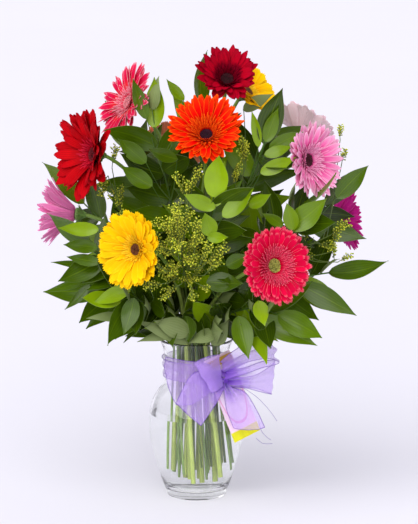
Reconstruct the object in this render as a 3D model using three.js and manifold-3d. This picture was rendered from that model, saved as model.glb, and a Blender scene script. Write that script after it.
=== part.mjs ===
// Gerberas with ruscus and solidago in a clear urn vase, tied at the neck with an organza ribbon.
// Millimetres, +Z up. The origin is the centre of the vase's flat underside and the front faces -Y.

import * as THREE from 'three';
import { mergeVertices } from 'three/addons/utils/BufferGeometryUtils.js';
import Module from 'manifold-3d';

const wasm = await Module();
wasm.setup();

// Clearance between separate pieces.
const GAP = 0.3;

// Vase: outer and inner half-profiles as [radius, height], from the underside up.
const VASE_FLOOR = 10;
const VASE_SEGMENTS = 20;
const VASE_OUTER = [
  [36.5, 0], [39.5, 4.5], [46, 22], [54.5, 50], [60.8, 78], [61.6, 102], [59, 122],
  [51, 138], [42, 150], [39.6, 163], [40.8, 184], [43.8, 198], [48.6, 209],
];
const VASE_INNER = [
  [46.4, 209.6], [41.2, 198], [38.2, 184], [37, 163], [39.4, 149.2], [48.6, 136.8], [56.4, 121],
  [59, 101.6], [58.2, 78.4], [52, 51], [43.6, 23.4], [35, 12.5],
];
const WATER_LEVEL = 117;
const WATER_TOP_RADIUS = 56.4;
const WATER_CLEARANCE = 0.5;

// Stems: where they are tied together, and how the bundle opens towards the feet.
const BIND_HEIGHT = 165;
const MOUTH_HEIGHT = 214;
const BIND_RADIUS = 33;
const STEM_SPACING = 7.6;
const FOOT_TURN = THREE.MathUtils.degToRad(25);
const FOOT_SPREAD = 1.3;
const FOOT_WALL_GAP = 5.5;
const HOLE_CLEARANCE = 0.4;
const MOUTH_BOW = 0.36;
const GERBERA_NECK = 50;

// Gerberas. at: middle of the flower disc; azimuth: from the front, positive to the right;
// rise: above the horizon; cup: slope of the outer petals over the disc plane, in degrees.
const GERBERAS = [
  { name: 'dark_red', at: [39, -14, 548], azimuth: 4, rise: 37, diameter: 80, cup: 42,
    petal: 0x9e0420, discColour: 0x1d0508, foot: 24 },
  { name: 'yellow_back', at: [64, 46, 523], azimuth: 62, rise: 42, diameter: 84, cup: 26,
    petal: 0xfcd404, discColour: 0x4a2409, foot: 34 },
  { name: 'orange', at: [13, -75, 487], azimuth: -2, rise: 39, diameter: 102, cup: 35,
    petal: 0xfb4a02, discColour: 0x2a0a1c, foot: 20 },
  { name: 'rose_white', at: [-85, 12, 515], azimuth: -62, rise: 26, diameter: 107, cup: 14,
    petal: 0xe83c6c, discColour: 0xe9b8c6, foot: 30 },
  { name: 'red', at: [-127, -50, 459], azimuth: -54, rise: 10, diameter: 118, cup: 30,
    petal: 0xd8020e, discColour: 0x5c0714, foot: 26 },
  { name: 'magenta_left', at: [-156, 2, 372], azimuth: -102, rise: 2, diameter: 82, cup: 52,
    petal: 0xd948a8, discColour: 0x3a1020, foot: 38 },
  { name: 'yellow_front', at: [-73, -122, 352], azimuth: -38, rise: 8, diameter: 101, cup: 28,
    petal: 0xfecb02, discColour: 0x35160a, foot: 22 },
  { name: 'hot_pink', at: [96, -122, 331], azimuth: 31, rise: 12, diameter: 101, cup: 18,
    petal: 0xee2a55, discColour: 0xa9b843, foot: 28 },
  { name: 'light_pink', at: [139, -42, 450], azimuth: 46, rise: 12, diameter: 98, cup: 28,
    petal: 0xf59cc4, discColour: 0x2c0d16, foot: 18 },
  { name: 'light_pink_back', at: [134, 84, 463], azimuth: 140, rise: 46, diameter: 84, cup: 34,
    petal: 0xf6c3d6, discColour: 0x301018, foot: 32 },
  { name: 'magenta_right', at: [180, 42, 356], azimuth: 112, rise: 4, diameter: 86, cup: 32,
    petal: 0xc2187f, discColour: 0x36101f, foot: 40 },
  { name: 'coral_back', at: [-34, 118, 430], azimuth: -172, rise: 26, diameter: 98, cup: 12,
    petal: 0xf2705a, discColour: 0x3a140c, foot: 23 },
];
const GERBERA_STEM_RADIUS = 2.8;
const OUTER_PETALS = 14;
const INNER_PETALS = 7;
const PETAL_THICKNESS = 0.8;
const PETAL_HALF_WIDTH = 7.4;
const PETAL_NOTCH = 0.48;
const PETAL_WIDEST = 0.83;
const INNER_REACH = 0.8;
const INNER_RISE = 15;
const INNER_LIFT = 1.1;
const HUB_RADIUS = 9.5;
const HUB_DEPTH = 1.2;
const DISC_RADIUS = 8.6;
const CALYX_RADIUS = 9.4;
const CALYX_LENGTH = 13;
const CALYX_OVERLAP = 1.5;
const CALYX_TEETH = 8;

// Ruscus: leafy stems. tip: end of the stem; droop: how much its end turns down;
// face: azimuth towards which the leaves show their flat side; leaves: how many, tip leaf included.
const RUSCUS = [
  { name: 'upper_left', tip: [-54, -24, 490], droop: -0.1, face: 4, leaves: 14, foot: 30 },
  { name: 'top', tip: [8, 30, 508], droop: -0.2, face: 0, leaves: 10, foot: 36 },
  { name: 'left_back', tip: [-92, 52, 452], droop: 0.1, face: -10, leaves: 9, foot: 28 },
  { name: 'far_left', tip: [-146, 34, 380], droop: 0.05, face: -40, leaves: 9, foot: 34 },
  { name: 'left_low', tip: [-134, -54, 338], droop: -0.1, face: -30, leaves: 10, foot: 30 },
  { name: 'lower_left', tip: [-120, -8, 276], droop: 0.5, face: -30, leaves: 10, foot: 40 },
  { name: 'front_left', tip: [-96, -84, 280], droop: 0.35, face: -30, leaves: 8, foot: 36 },
  { name: 'centre', tip: [22, -108, 416], droop: 0.1, face: 0, leaves: 11, foot: 26 },
  { name: 'upper_right', tip: [86, -50, 474], droop: -0.1, face: 8, leaves: 13, foot: 32 },
  { name: 'far_right', tip: [166, 10, 382], droop: 0, face: 10, leaves: 9, foot: 38 },
  { name: 'right_mid', tip: [132, -62, 392], droop: 0.2, face: 15, leaves: 11, foot: 34 },
  { name: 'right_low', tip: [170, -22, 300], droop: 0.3, face: 5, leaves: 10, foot: 42 },
  { name: 'lower_right', tip: [104, -78, 258], droop: 0.6, face: 10, leaves: 10, foot: 36 },
  { name: 'back_left', tip: [-72, 132, 352], droop: 0.4, face: -150, leaves: 8, foot: 30 },
  { name: 'back_right', tip: [98, 60, 478], droop: 0, face: 20, leaves: 11, foot: 26 },
];
const RUSCUS_STEM_RADIUS = 1.6;
const LEAF_LENGTH = 78;
const LEAF_WIDTH = 31;
const LEAF_THICKNESS = 0.7;
const LEAF_ANGLE = THREE.MathUtils.degToRad(48);
const LEAF_START = 0.16;
const LEAF_END = 0.97;
const LEAF_ARCH = 0.08;
const LEAF_DROOP = 0.08;

// Solidago: plumes of side twigs set with florets. twig: how long its lowest twigs are.
const SOLIDAGO = [
  { name: 'front', tip: [-22, -134, 376], droop: 0, twigs: 19, twig: 58, foot: 44 },
  { name: 'left', tip: [-112, -30, 404], droop: 0.1, twigs: 8, twig: 38, foot: 46 },
  { name: 'middle', tip: [50, -64, 424], droop: 0, twigs: 8, twig: 38, foot: 42 },
  { name: 'right', tip: [172, -34, 352], droop: 0.2, twigs: 9, twig: 42, foot: 44 },
];
const SOLIDAGO_STEM_RADIUS = 1.4;
const TWIG_START = 0.42;
const TWIG_RADIUS = 0.9;
const PLUME_RADIUS = 3.4;
const PLUME_SIDES = 3;

// Ribbon: a band round the neck, as [outer radius of the glass, height] at its edges and middle.
const RIBBON_THICKNESS = 0.8;
const BAND_LINE = [[40.9, 157], [40, 170], [41.1, 185]];
const BAND_WAVE = 3;

// Sachet: a bent card that leans on the band and the belly, as [distance from the axis, along, height].
const SACHET_AZIMUTH = 32;
const SACHET_LINE = [[70, 34, 88], [43.6, 8, 180], [48.6, 5, 192]];
const SACHET_HALF_WIDTH = 21;
const SACHET_THICKNESS = 2;

// Bow: knot, three loops and two tails. Each strip is a list of [x, y, z, half width].
const KNOT_ALONG = 12;
const KNOT_HEIGHT = 168;
const KNOT_SIZE = [15, 22, 12];
const BOW_STRIPS = [
  { name: 'upper right loop', across: [-0.42, 0, 0.9], line: [
    [42, -42, 174, 3], [68, -54, 191, 13], [100, -46, 203, 19], [70, -37, 191, 13], [43, -38, 174, 3]] },
  { name: 'lower right loop', across: [0.12, 0, 1], line: [
    [42, -42, 165, 3], [68, -54, 162, 13], [103, -44, 161, 19], [70, -36, 162, 13], [44, -38, 165, 3]] },
  { name: 'left loop', across: [-0.3, 0, 0.95], line: [
    [37, -46, 172, 6], [26, -66, 177, 19], [8, -74, 177, 21], [12, -62, 176, 18], [37, -41, 173, 5]] },
  { name: 'left tail', across: [-0.43, 0.35, 0.83], line: [
    [35, -44, 171, 4], [18, -57, 165, 19], [0, -64, 157, 33], [-17, -58, 148, 38]] },
  { name: 'right tail', across: [0.85, 0.2, 0.5], line: [
    [41, -42, 161, 4], [54, -56, 134, 16], [68, -58, 108, 19], [76, -54, 91, 17]] },
];

const RIBBON_COLOUR = 0xb48ce6;
const GERBERA_GREEN = 0x8fae5a;
const RUSCUS_GREEN = 0x3f7a12;
const SOLIDAGO_YELLOW = 0xc9c92a;

const rad = THREE.MathUtils.degToRad;

// A repeatable draw between 0 and 1 from two whole numbers.
function draw(seed, index) {
  const s = Math.sin(seed * 127.1 + index * 311.7 + 74.7) * 43758.5453;
  return s - Math.floor(s);
}

const vec = (a) => new THREE.Vector3(a[0], a[1], a[2]);

// Unit vector from an azimuth (front = -Y, positive to the right) and a rise above the horizon.
function heading(azimuth, rise) {
  const a = rad(azimuth);
  const r = rad(rise);
  return new THREE.Vector3(Math.sin(a) * Math.cos(r), -Math.cos(a) * Math.cos(r), Math.sin(r));
}

// A closed solid from a closed surface.
function solidFrom(geometry) {
  const g = geometry.clone();
  g.deleteAttribute('normal');
  g.deleteAttribute('uv');
  const merged = mergeVertices(g, 1e-4);
  return new wasm.Manifold(new wasm.Mesh({
    numProp: 3,
    vertProperties: merged.attributes.position.array,
    triVerts: new Uint32Array(merged.index.array),
  }));
}

// A closed solid from points and faces, turned outside in where its faces point inwards.
function solidOf(points, faces) {
  const geometry = new THREE.BufferGeometry();
  const coordinates = points.flatMap((p) => [p.x, p.y, p.z]);
  geometry.setAttribute('position', new THREE.Float32BufferAttribute(coordinates, 3));
  geometry.setIndex(faces.flat());
  const solid = solidFrom(geometry);
  return solid.volume() > 0 ? solid : solidOf(points, faces.map(([a, b, c]) => [a, c, b]));
}

const fuse = (solids) => solids.reduce((a, b) => a.add(b));

// Fills hollows that fusing has sealed.
const filled = (solid) => fuse(solid.decompose().filter((part) => part.volume() > 0));

function geometryOf(solid) {
  const mesh = solid.getMesh();
  const geometry = new THREE.BufferGeometry();
  geometry.setAttribute('position', new THREE.BufferAttribute(new Float32Array(mesh.vertProperties), 3));
  geometry.setIndex(new THREE.BufferAttribute(new Uint32Array(mesh.triVerts), 1));
  geometry.computeVertexNormals();
  return geometry;
}

// Everything placed so far, for keeping later leaves and twigs clear of it.
const placed = [];
const group = new THREE.Group();

function boxOf(points) {
  return new THREE.Box3().setFromPoints(points);
}

function solidBox(solid) {
  const b = solid.boundingBox();
  return new THREE.Box3(vec(b.min), vec(b.max));
}

function keep(name, solid) {
  placed.push({ name, solid, box: solidBox(solid) });
}

function addNode(name, solid, colour, roughness, extra = {}) {
  const material = new THREE.MeshStandardMaterial({ color: colour, roughness, metalness: 0, ...extra });
  const mesh = new THREE.Mesh(geometryOf(solid), material);
  mesh.name = name;
  group.add(mesh);
}

function touches(test, testBox, except) {
  return placed.some((p) => p.name !== except && p.box.intersectsBox(testBox)
    && !test.intersect(p.solid).isEmpty());
}

// A path through given points with given directions, along which a stem is swept.
class StemPath extends THREE.Curve {
  constructor(points, tangents) {
    super();
    this.points = points;
    this.tangents = tangents;
  }

  getPoint(t) {
    return this.points[Math.round(t * (this.points.length - 1))].clone();
  }

  getPointAt(u) {
    return this.getPoint(u);
  }

  getTangentAt(u) {
    return this.tangents[Math.round(u * (this.points.length - 1))].clone();
  }
}

function polygon(radius, sides) {
  const shape = new THREE.Shape();
  for (let i = 0; i < sides; i += 1) {
    const a = (2 * Math.PI * i) / sides;
    const x = radius * Math.cos(a);
    const y = radius * Math.sin(a);
    if (i === 0) shape.moveTo(x, y);
    else shape.lineTo(x, y);
  }
  shape.closePath();
  return shape;
}

function tube(points, tangents, radius, sides) {
  const path = new StemPath(points, tangents);
  const geometry = new THREE.ExtrudeGeometry(polygon(radius, sides), {
    steps: points.length - 1,
    extrudePath: path,
    curveSegments: 1,
    bevelEnabled: false,
  });
  return solidFrom(geometry);
}

// Where each stem passes the tie: ordered by the way its head leans, then pushed apart.
function bindPoints(heads) {
  const points = heads.map((h) => {
    const out = new THREE.Vector2(h.x, h.y);
    const lean = Math.atan2(out.length(), h.z - MOUTH_HEIGHT);
    return out.normalize().multiplyScalar(Math.min(1, lean / rad(70)) * BIND_RADIUS);
  });
  for (let round = 0; round < 400; round += 1) {
    for (let i = 0; i < points.length; i += 1) {
      for (let j = 0; j < i; j += 1) {
        const away = points[i].clone().sub(points[j]);
        const distance = Math.max(away.length(), 1e-3);
        if (distance < STEM_SPACING) {
          away.multiplyScalar((0.5 * (STEM_SPACING - distance)) / distance);
          points[i].add(away);
          points[j].sub(away);
        }
      }
    }
    points.forEach((p) => p.clampLength(0, BIND_RADIUS));
  }
  return points;
}

// Radius of the vase's inner wall at a height.
function innerRadius(height) {
  const below = VASE_INNER.findIndex(([, z]) => z <= height);
  const [lowRadius, low] = VASE_INNER[below];
  const [highRadius, high] = VASE_INNER[below - 1];
  return lowRadius + ((highRadius - lowRadius) * (height - low)) / (high - low);
}

// Straight from foot to mouth, then a smooth curve to the head.
function stemLine(bind, foot, head, headDirection, bow, steps) {
  const reach = Math.min(FOOT_SPREAD * bind.length(), innerRadius(foot) - FOOT_WALL_GAP);
  const low = bind.clone().rotateAround(new THREE.Vector2(0, 0), FOOT_TURN).setLength(reach);
  const start = new THREE.Vector3(low.x, low.y, foot);
  const tie = new THREE.Vector3(bind.x, bind.y, BIND_HEIGHT);
  const along = tie.clone().sub(start).normalize();
  const mouth = start.clone().addScaledVector(along, (MOUTH_HEIGHT - foot) / along.z);
  const span = mouth.distanceTo(head) * MOUTH_BOW;
  const curve = new THREE.CubicBezierCurve3(
    mouth,
    mouth.clone().addScaledVector(along, span),
    head.clone().addScaledVector(headDirection, -Math.min(span, bow)),
    head,
  );
  const points = [start];
  const tangents = [along];
  for (let i = 0; i <= steps; i += 1) {
    points.push(curve.getPoint(i / steps));
    tangents.push(i === 0 ? along : curve.getTangent(i / steps));
  }
  return { points, tangents, along, start };
}

// A spot on the curved part of a stem, from 0 at the mouth to 1 at its end, and the way it runs there.
function spotOn({ points, tangents }, part) {
  const steps = points.length - 2;
  const place = part * steps;
  const below = Math.min(steps - 1, Math.floor(place));
  const share = place - below;
  const at = points[1 + below].clone().lerp(points[2 + below], share);
  const along = tangents[1 + below].clone().lerp(tangents[2 + below], share).normalize();
  return { at, along };
}

// A hole in the water round the straight foot of a stem.
function footHole(line, radius, sides) {
  const bottom = line.start.clone().addScaledVector(line.along, -HOLE_CLEARANCE);
  const rise = (WATER_LEVEL + 5 - bottom.z) / line.along.z;
  const top = bottom.clone().addScaledVector(line.along, rise);
  return tube([bottom, top], [line.along, line.along], radius + HOLE_CLEARANCE, sides);
}

// Axes of a bloom: right, up and the way that it faces.
function bloomFrame(g) {
  const facing = heading(g.azimuth, g.rise);
  const right = new THREE.Vector3(0, 0, 1).cross(facing).normalize().negate();
  const up = facing.clone().cross(right).normalize();
  return new THREE.Matrix4().makeBasis(right, up, facing).setPosition(vec(g.at));
}

// One layer of petals: a dish with a pointed blade from each hub spoke and a notch between them.
function petalLayer(count, radius, slope, hubZ, hubDepth, turn, seed) {
  const step = (2 * Math.PI) / count;
  const notch = PETAL_NOTCH * radius;
  const wide = PETAL_WIDEST * radius;
  const halfWidth = Math.min(PETAL_HALF_WIDTH, 0.46 * step * wide);
  const height = (r) => hubZ + Math.max(0, r - HUB_RADIUS) * Math.tan(slope);
  const drop = PETAL_THICKNESS / Math.cos(slope);
  const top = [];
  const low = [];
  const add = (r, a, z, thickness) => {
    top.push(new THREE.Vector3(r * Math.cos(a), r * Math.sin(a), z));
    low.push(new THREE.Vector3(r * Math.cos(a), r * Math.sin(a), z - thickness));
  };
  add(0, 0, hubZ, hubDepth);
  for (let k = 0; k < count; k += 1) {
    const a = turn + k * step;
    const long = radius * (0.96 + 0.05 * draw(seed, k));
    const lift = 3 * (draw(seed, k + 40) - 0.5);
    add(HUB_RADIUS, a - step / 2, hubZ, hubDepth);
    add(notch, a - step / 2, height(notch), drop);
    add(Math.hypot(wide, halfWidth), a - Math.atan2(halfWidth, wide), height(wide) + 0.6 * lift, drop);
    add(long, a, height(long) + lift, drop);
    add(Math.hypot(wide, halfWidth), a + Math.atan2(halfWidth, wide), height(wide) + 0.6 * lift, drop);
  }
  const faces = [];
  const lower = top.length;
  const both = (a, b, c) => {
    faces.push([a, b, c], [lower + a, lower + c, lower + b]);
  };
  const wall = (a, b) => {
    faces.push([lower + a, lower + b, b], [lower + a, b, a]);
  };
  for (let k = 0; k < count; k += 1) {
    const here = 1 + 5 * k;
    const next = 1 + 5 * ((k + 1) % count);
    const [hub, dip, left, tip, side] = [here, here + 1, here + 2, here + 3, here + 4];
    both(0, hub, next);
    both(hub, dip, next + 1);
    both(hub, next + 1, next);
    both(dip, left, side);
    both(dip, side, next + 1);
    both(left, tip, side);
    wall(dip, left);
    wall(left, tip);
    wall(tip, side);
    wall(side, next + 1);
  }
  return solidOf([...top, ...low], faces);
}

// Flower disc: a dome with a relief of florets.
function flowerDisc(base, seed) {
  const geometry = new THREE.LatheGeometry([
    new THREE.Vector2(0, base),
    new THREE.Vector2(DISC_RADIUS - 0.6, base),
    new THREE.Vector2(DISC_RADIUS, base + 1.4),
    new THREE.Vector2(0.62 * DISC_RADIUS, base + 2.9),
    new THREE.Vector2(0, base + 2.6),
  ], 9);
  geometry.rotateX(Math.PI / 2);
  const position = geometry.attributes.position;
  const cell = (x) => Math.round(x * 50);
  for (let i = 0; i < position.count; i += 1) {
    const x = position.getX(i);
    const y = position.getY(i);
    const z = position.getZ(i);
    if (z > base + 1 && Math.hypot(x, y) > 1) {
      const bump = 0.9 * draw(seed, Math.abs(cell(x) * 3 + cell(y) * 7));
      position.setZ(i, z + bump);
    }
  }
  return solidFrom(geometry);
}

// Calyx: a green cup with toothed rim behind the petals, in the bloom's own axes.
function calyxCup(topZ) {
  const teeth = CALYX_TEETH;
  const rings = [
    [CALYX_RADIUS, topZ],
    [CALYX_RADIUS - 0.8, topZ - 4.5],
    [GERBERA_STEM_RADIUS + 0.6, topZ - CALYX_LENGTH],
  ];
  const points = [new THREE.Vector3(0, 0, topZ)];
  rings.forEach(([r, z], ring) => {
    for (let i = 0; i < teeth; i += 1) {
      const a = (2 * Math.PI * (i + 0.5 * (ring % 2))) / teeth;
      points.push(new THREE.Vector3(r * Math.cos(a), r * Math.sin(a), z));
    }
  });
  points.push(new THREE.Vector3(0, 0, topZ - CALYX_LENGTH));
  const last = points.length - 1;
  const at = (ring, i) => 1 + ring * teeth + (i % teeth);
  const faces = [];
  for (let i = 0; i < teeth; i += 1) {
    faces.push([0, at(0, i), at(0, i + 1)]);
    faces.push([at(0, i), at(1, i), at(0, i + 1)], [at(1, i), at(1, i + 1), at(0, i + 1)]);
    faces.push([at(1, i), at(2, i), at(2, i + 1)], [at(1, i), at(2, i + 1), at(1, i + 1)]);
    faces.push([last, at(2, i + 1), at(2, i)]);
  }
  return solidOf(points, faces);
}

// The bends that a leaf tries in order until it lies clear of all else: turn, roll and size.
const LEAF_BENDS = [
  [0, 0, 1], [12, 0, 1], [-12, 0, 1], [0, 24, 1], [0, -24, 1], [12, 30, 0.95], [-12, -30, 0.95],
  [18, -30, 0.95], [-18, 30, 0.95], [0, 50, 0.95], [0, -50, 0.95], [14, 55, 0.9], [-14, -55, 0.9],
  [0, 0, 0.85], [20, 20, 0.85], [-20, -20, 0.85], [0, 75, 0.9], [0, -75, 0.9], [10, 95, 0.85],
  [-10, -95, 0.85], [0, 35, 0.75], [0, -35, 0.75], [15, 70, 0.75], [-15, -70, 0.75], [0, 0, 0.65],
  [22, 110, 0.75], [-22, -110, 0.75], [25, 45, 0.65], [-25, -45, 0.65], [0, 140, 0.7], [0, -140, 0.7],
];

// One ruscus leaf: a thin, slightly arched blade with a pointed tip.
function leafAt(spec, seed, index, bend, margin) {
  const tipLeaf = index === spec.leaves - 1;
  const part = tipLeaf ? 1 : LEAF_START + ((LEAF_END - LEAF_START) * index) / (spec.leaves - 1);
  const { at: base, along } = spotOn(spec.line, tipLeaf ? 0.995 : part);
  const face = heading(spec.face, 25);
  const side = index % 2 === 0 ? 1 : -1;
  const roll = rad((draw(seed, index) - 0.5) * 60 + bend[1]);
  const across = face.clone().cross(along).normalize().multiplyScalar(side).applyAxisAngle(along, roll);
  const angle = tipLeaf ? rad(bend[0]) : LEAF_ANGLE + rad(bend[0] + (draw(seed, index + 30) - 0.5) * 22);
  const direction = along.clone().multiplyScalar(Math.cos(angle)).addScaledVector(across, Math.sin(angle));
  const upper = across.clone().cross(along).multiplyScalar(side);
  const tilt = rad((draw(seed, index + 60) - 0.5) * 50);
  const normal = upper.applyAxisAngle(direction, tilt).normalize();
  const width = direction.clone().cross(normal).normalize();
  const young = 1 - 0.3 * part;
  const length = LEAF_LENGTH * (0.9 + 0.22 * draw(seed, index + 90)) * bend[2] * (0.75 + 0.25 * young);
  const half = 0.5 * LEAF_WIDTH * (length / LEAF_LENGTH) + margin;
  const thick = LEAF_THICKNESS + 2 * margin;
  const spot = (t, w) => base.clone()
    .addScaledVector(direction, t * length)
    .addScaledVector(normal, length * (LEAF_ARCH * 4 * t * (1 - t) - LEAF_DROOP * t * t))
    .addScaledVector(width, w);
  const middle = [
    spot(0, 0), spot(0.36, -half), spot(0.36, half),
    spot(0.7, -0.74 * half), spot(0.7, 0.74 * half), spot(1, 0),
  ];
  const top = middle.map((p) => p.clone().addScaledVector(normal, thick / 2));
  const low = middle.map((p) => p.clone().addScaledVector(normal, -thick / 2));
  const upperFaces = [[0, 2, 1], [1, 2, 4], [1, 4, 3], [3, 4, 5]];
  const rim = [0, 2, 4, 5, 3, 1];
  const faces = [];
  const lower = middle.length;
  upperFaces.forEach(([a, b, c]) => {
    faces.push([a, b, c], [lower + a, lower + c, lower + b]);
  });
  rim.forEach((a, i) => {
    const b = rim[(i + 1) % rim.length];
    faces.push([a, lower + a, lower + b], [a, lower + b, b]);
  });
  const solid = solidOf([...top, ...low], faces);
  return { solid, box: boxOf([...top, ...low]) };
}

// Vase and water

const vaseProfile = [
  [0, 0], ...VASE_OUTER, ...VASE_INNER, [0, VASE_FLOOR],
].map(([r, z]) => new THREE.Vector2(r, z));
const vaseSolid = solidFrom(new THREE.LatheGeometry(vaseProfile, VASE_SEGMENTS).rotateX(Math.PI / 2));
keep('vase', vaseSolid);

// Heads, ties and stems

const gerberaHeads = GERBERAS.map((g) => {
  const frame = bloomFrame(g);
  const facing = heading(g.azimuth, g.rise);
  const calyxTop = -HUB_DEPTH - 2 * GAP;
  const back = vec(g.at).addScaledVector(facing, calyxTop - CALYX_LENGTH + CALYX_OVERLAP);
  return { ...g, frame, facing, calyxTop, back };
});
const leanOf = (s) => {
  const out = vec(s.tip).sub(new THREE.Vector3(0, 0, MOUTH_HEIGHT)).normalize();
  return out.setZ(out.z - s.droop).normalize();
};
const allHeads = [
  ...gerberaHeads.map((g) => g.back),
  ...RUSCUS.map((s) => vec(s.tip)),
  ...SOLIDAGO.map((s) => vec(s.tip)),
];
const ties = bindPoints(allHeads);

const holes = [];
gerberaHeads.forEach((g, i) => {
  g.line = stemLine(ties[i], g.foot, g.back, g.facing, GERBERA_NECK, 4);
  g.stem = tube(g.line.points, g.line.tangents, GERBERA_STEM_RADIUS, 5);
  holes.push(footHole(g.line, GERBERA_STEM_RADIUS, 5));
});
RUSCUS.forEach((s, i) => {
  s.line = stemLine(ties[GERBERAS.length + i], s.foot, vec(s.tip), leanOf(s), Infinity, 5);
  s.stem = tube(s.line.points, s.line.tangents, RUSCUS_STEM_RADIUS, 4);
  holes.push(footHole(s.line, RUSCUS_STEM_RADIUS, 4));
});
SOLIDAGO.forEach((s, i) => {
  s.line = stemLine(ties[GERBERAS.length + RUSCUS.length + i], s.foot, vec(s.tip), leanOf(s), Infinity, 4);
  s.stem = tube(s.line.points, s.line.tangents, SOLIDAGO_STEM_RADIUS, 4);
  holes.push(footHole(s.line, SOLIDAGO_STEM_RADIUS, 4));
});

const waterWall = VASE_INNER.filter(([, z]) => z < WATER_LEVEL).reverse();
const waterProfile = [
  [0, VASE_FLOOR + GAP],
  ...waterWall.map(([r, z], ring) => [r - WATER_CLEARANCE, ring === 0 ? z + GAP : z]),
  [WATER_TOP_RADIUS, WATER_LEVEL],
  [0, WATER_LEVEL],
].map(([r, z]) => new THREE.Vector2(r, z));
const waterBody = solidFrom(new THREE.LatheGeometry(waterProfile, VASE_SEGMENTS).rotateX(Math.PI / 2));
const waterSolid = waterBody.subtract(fuse(holes));

// Blooms

gerberaHeads.forEach((g, i) => {
  const outerSlope = rad(g.cup);
  const innerSlope = rad(g.cup + INNER_RISE);
  const radius = g.diameter / 2;
  const innerRadius = (INNER_REACH * radius * Math.cos(innerSlope)) / Math.cos(outerSlope);
  const innerTurn = Math.PI / OUTER_PETALS;
  const innerDepth = HUB_DEPTH + 0.4;
  const outer = petalLayer(OUTER_PETALS, radius, outerSlope, 0, HUB_DEPTH, 0, 10 + i);
  const inner = petalLayer(INNER_PETALS, innerRadius, innerSlope, INNER_LIFT, innerDepth, innerTurn, 50 + i);
  g.petals = outer.add(inner).transform(g.frame.elements);
  g.disc = flowerDisc(INNER_LIFT + GAP, 90 + i).transform(g.frame.elements);
  const cup = calyxCup(g.calyxTop).transform(g.frame.elements);
  g.green = cup.add(g.stem);
  keep(`gerbera_${g.name}_petals`, g.petals);
  keep(`gerbera_${g.name}_disc`, g.disc);
  keep(`gerbera_${g.name}_stem`, g.green);
});

// Ribbon band: a thin ring that follows the neck, with a waved upper and lower edge.
function ribbonBand() {
  const inner = BAND_LINE.map(([r, z]) => new THREE.Vector2(r + GAP + 0.1, z));
  const outer = BAND_LINE.map(([r, z]) => new THREE.Vector2(r + GAP + 0.1 + RIBBON_THICKNESS, z)).reverse();
  const profile = [...outer.reverse(), ...inner.reverse()];
  profile.push(profile[0].clone());
  const geometry = new THREE.LatheGeometry(profile, VASE_SEGMENTS).rotateX(Math.PI / 2);
  const position = geometry.attributes.position;
  const [low, , high] = BAND_LINE.map((p) => p[1]);
  for (let i = 0; i < position.count; i += 1) {
    const z = position.getZ(i);
    const a = Math.atan2(position.getY(i), position.getX(i));
    if (Math.abs(z - high) < 0.1) position.setZ(i, z - BAND_WAVE * (0.5 + 0.5 * Math.sin(2 * a + 1)));
    if (Math.abs(z - low) < 0.1) position.setZ(i, z + BAND_WAVE * (0.5 + 0.5 * Math.sin(3 * a)));
  }
  return solidFrom(geometry);
}

// A thin strip through sections, each with a middle, a half-width vector and a face normal.
function strip(sections, thickness) {
  const points = [];
  sections.forEach(({ at, half, normal }) => {
    const lift = normal.clone().multiplyScalar(thickness / 2);
    points.push(
      at.clone().sub(half).add(lift),
      at.clone().add(half).add(lift),
      at.clone().add(half).sub(lift),
      at.clone().sub(half).sub(lift),
    );
  });
  const faces = [[0, 1, 2], [0, 2, 3]];
  for (let i = 0; i + 1 < sections.length; i += 1) {
    const a = 4 * i;
    const b = a + 4;
    faces.push([a, b, a + 1], [b, b + 1, a + 1]);
    faces.push([a + 1, b + 1, a + 2], [b + 1, b + 2, a + 2]);
    faces.push([a + 3, a + 2, b + 3], [b + 2, b + 3, a + 2]);
    faces.push([a, a + 3, b], [a + 3, b + 3, b]);
  }
  const last = 4 * (sections.length - 1);
  faces.push([last, last + 2, last + 1], [last, last + 3, last + 2]);
  return solidOf(points, faces);
}

function ribbonStrip({ across, line }) {
  const side = vec(across).normalize();
  const middle = line.map(vec);
  const sections = line.map((row, i) => {
    const before = middle[Math.max(0, i - 1)];
    const after = middle[Math.min(line.length - 1, i + 1)];
    const along = after.clone().sub(before).normalize();
    const normal = along.clone().cross(side).normalize();
    const half = normal.clone().cross(along).normalize().multiplyScalar(row[3]);
    return { at: middle[i], half, normal };
  });
  return strip(sections, RIBBON_THICKNESS);
}

const sachetOut = heading(SACHET_AZIMUTH, 0);
const sachetAlong = new THREE.Vector3(-sachetOut.y, sachetOut.x, 0);
const [SACHET_LOW, SACHET_HIGH] = SACHET_LINE;
const SACHET_LEAN = (SACHET_LOW[0] - SACHET_HIGH[0]) / (SACHET_HIGH[2] - SACHET_LOW[2]);
const sachetNormal = sachetOut.clone().setZ(SACHET_LEAN).normalize();

function sachetPoint([distance, along, z]) {
  return sachetOut.clone().multiplyScalar(distance).addScaledVector(sachetAlong, along).setZ(z);
}

function sachetCard() {
  const middle = SACHET_LINE.map(sachetPoint);
  const sections = middle.map((at, i) => {
    const before = middle[Math.max(0, i - 1)];
    const after = middle[Math.min(middle.length - 1, i + 1)];
    const along = after.clone().sub(before).normalize();
    const half = along.clone().cross(sachetNormal).normalize().multiplyScalar(SACHET_HALF_WIDTH);
    const normal = half.clone().cross(along).normalize();
    return { at, half, normal };
  });
  return strip(sections, SACHET_THICKNESS);
}

function bow() {
  const [width, height, depth] = KNOT_SIZE;
  const up = sachetNormal.clone().cross(sachetAlong);
  const distance = SACHET_HIGH[0] + SACHET_LEAN * (SACHET_HIGH[2] - KNOT_HEIGHT);
  const centre = sachetPoint([distance, KNOT_ALONG, KNOT_HEIGHT])
    .addScaledVector(sachetNormal, depth / 2 + SACHET_THICKNESS / 2 + 2 * GAP);
  const knot = new THREE.BoxGeometry(width, height, depth)
    .applyMatrix4(new THREE.Matrix4().makeBasis(sachetAlong, up, sachetNormal).setPosition(centre));
  return filled(fuse([solidFrom(knot), ...BOW_STRIPS.map(ribbonStrip)]));
}

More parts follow.
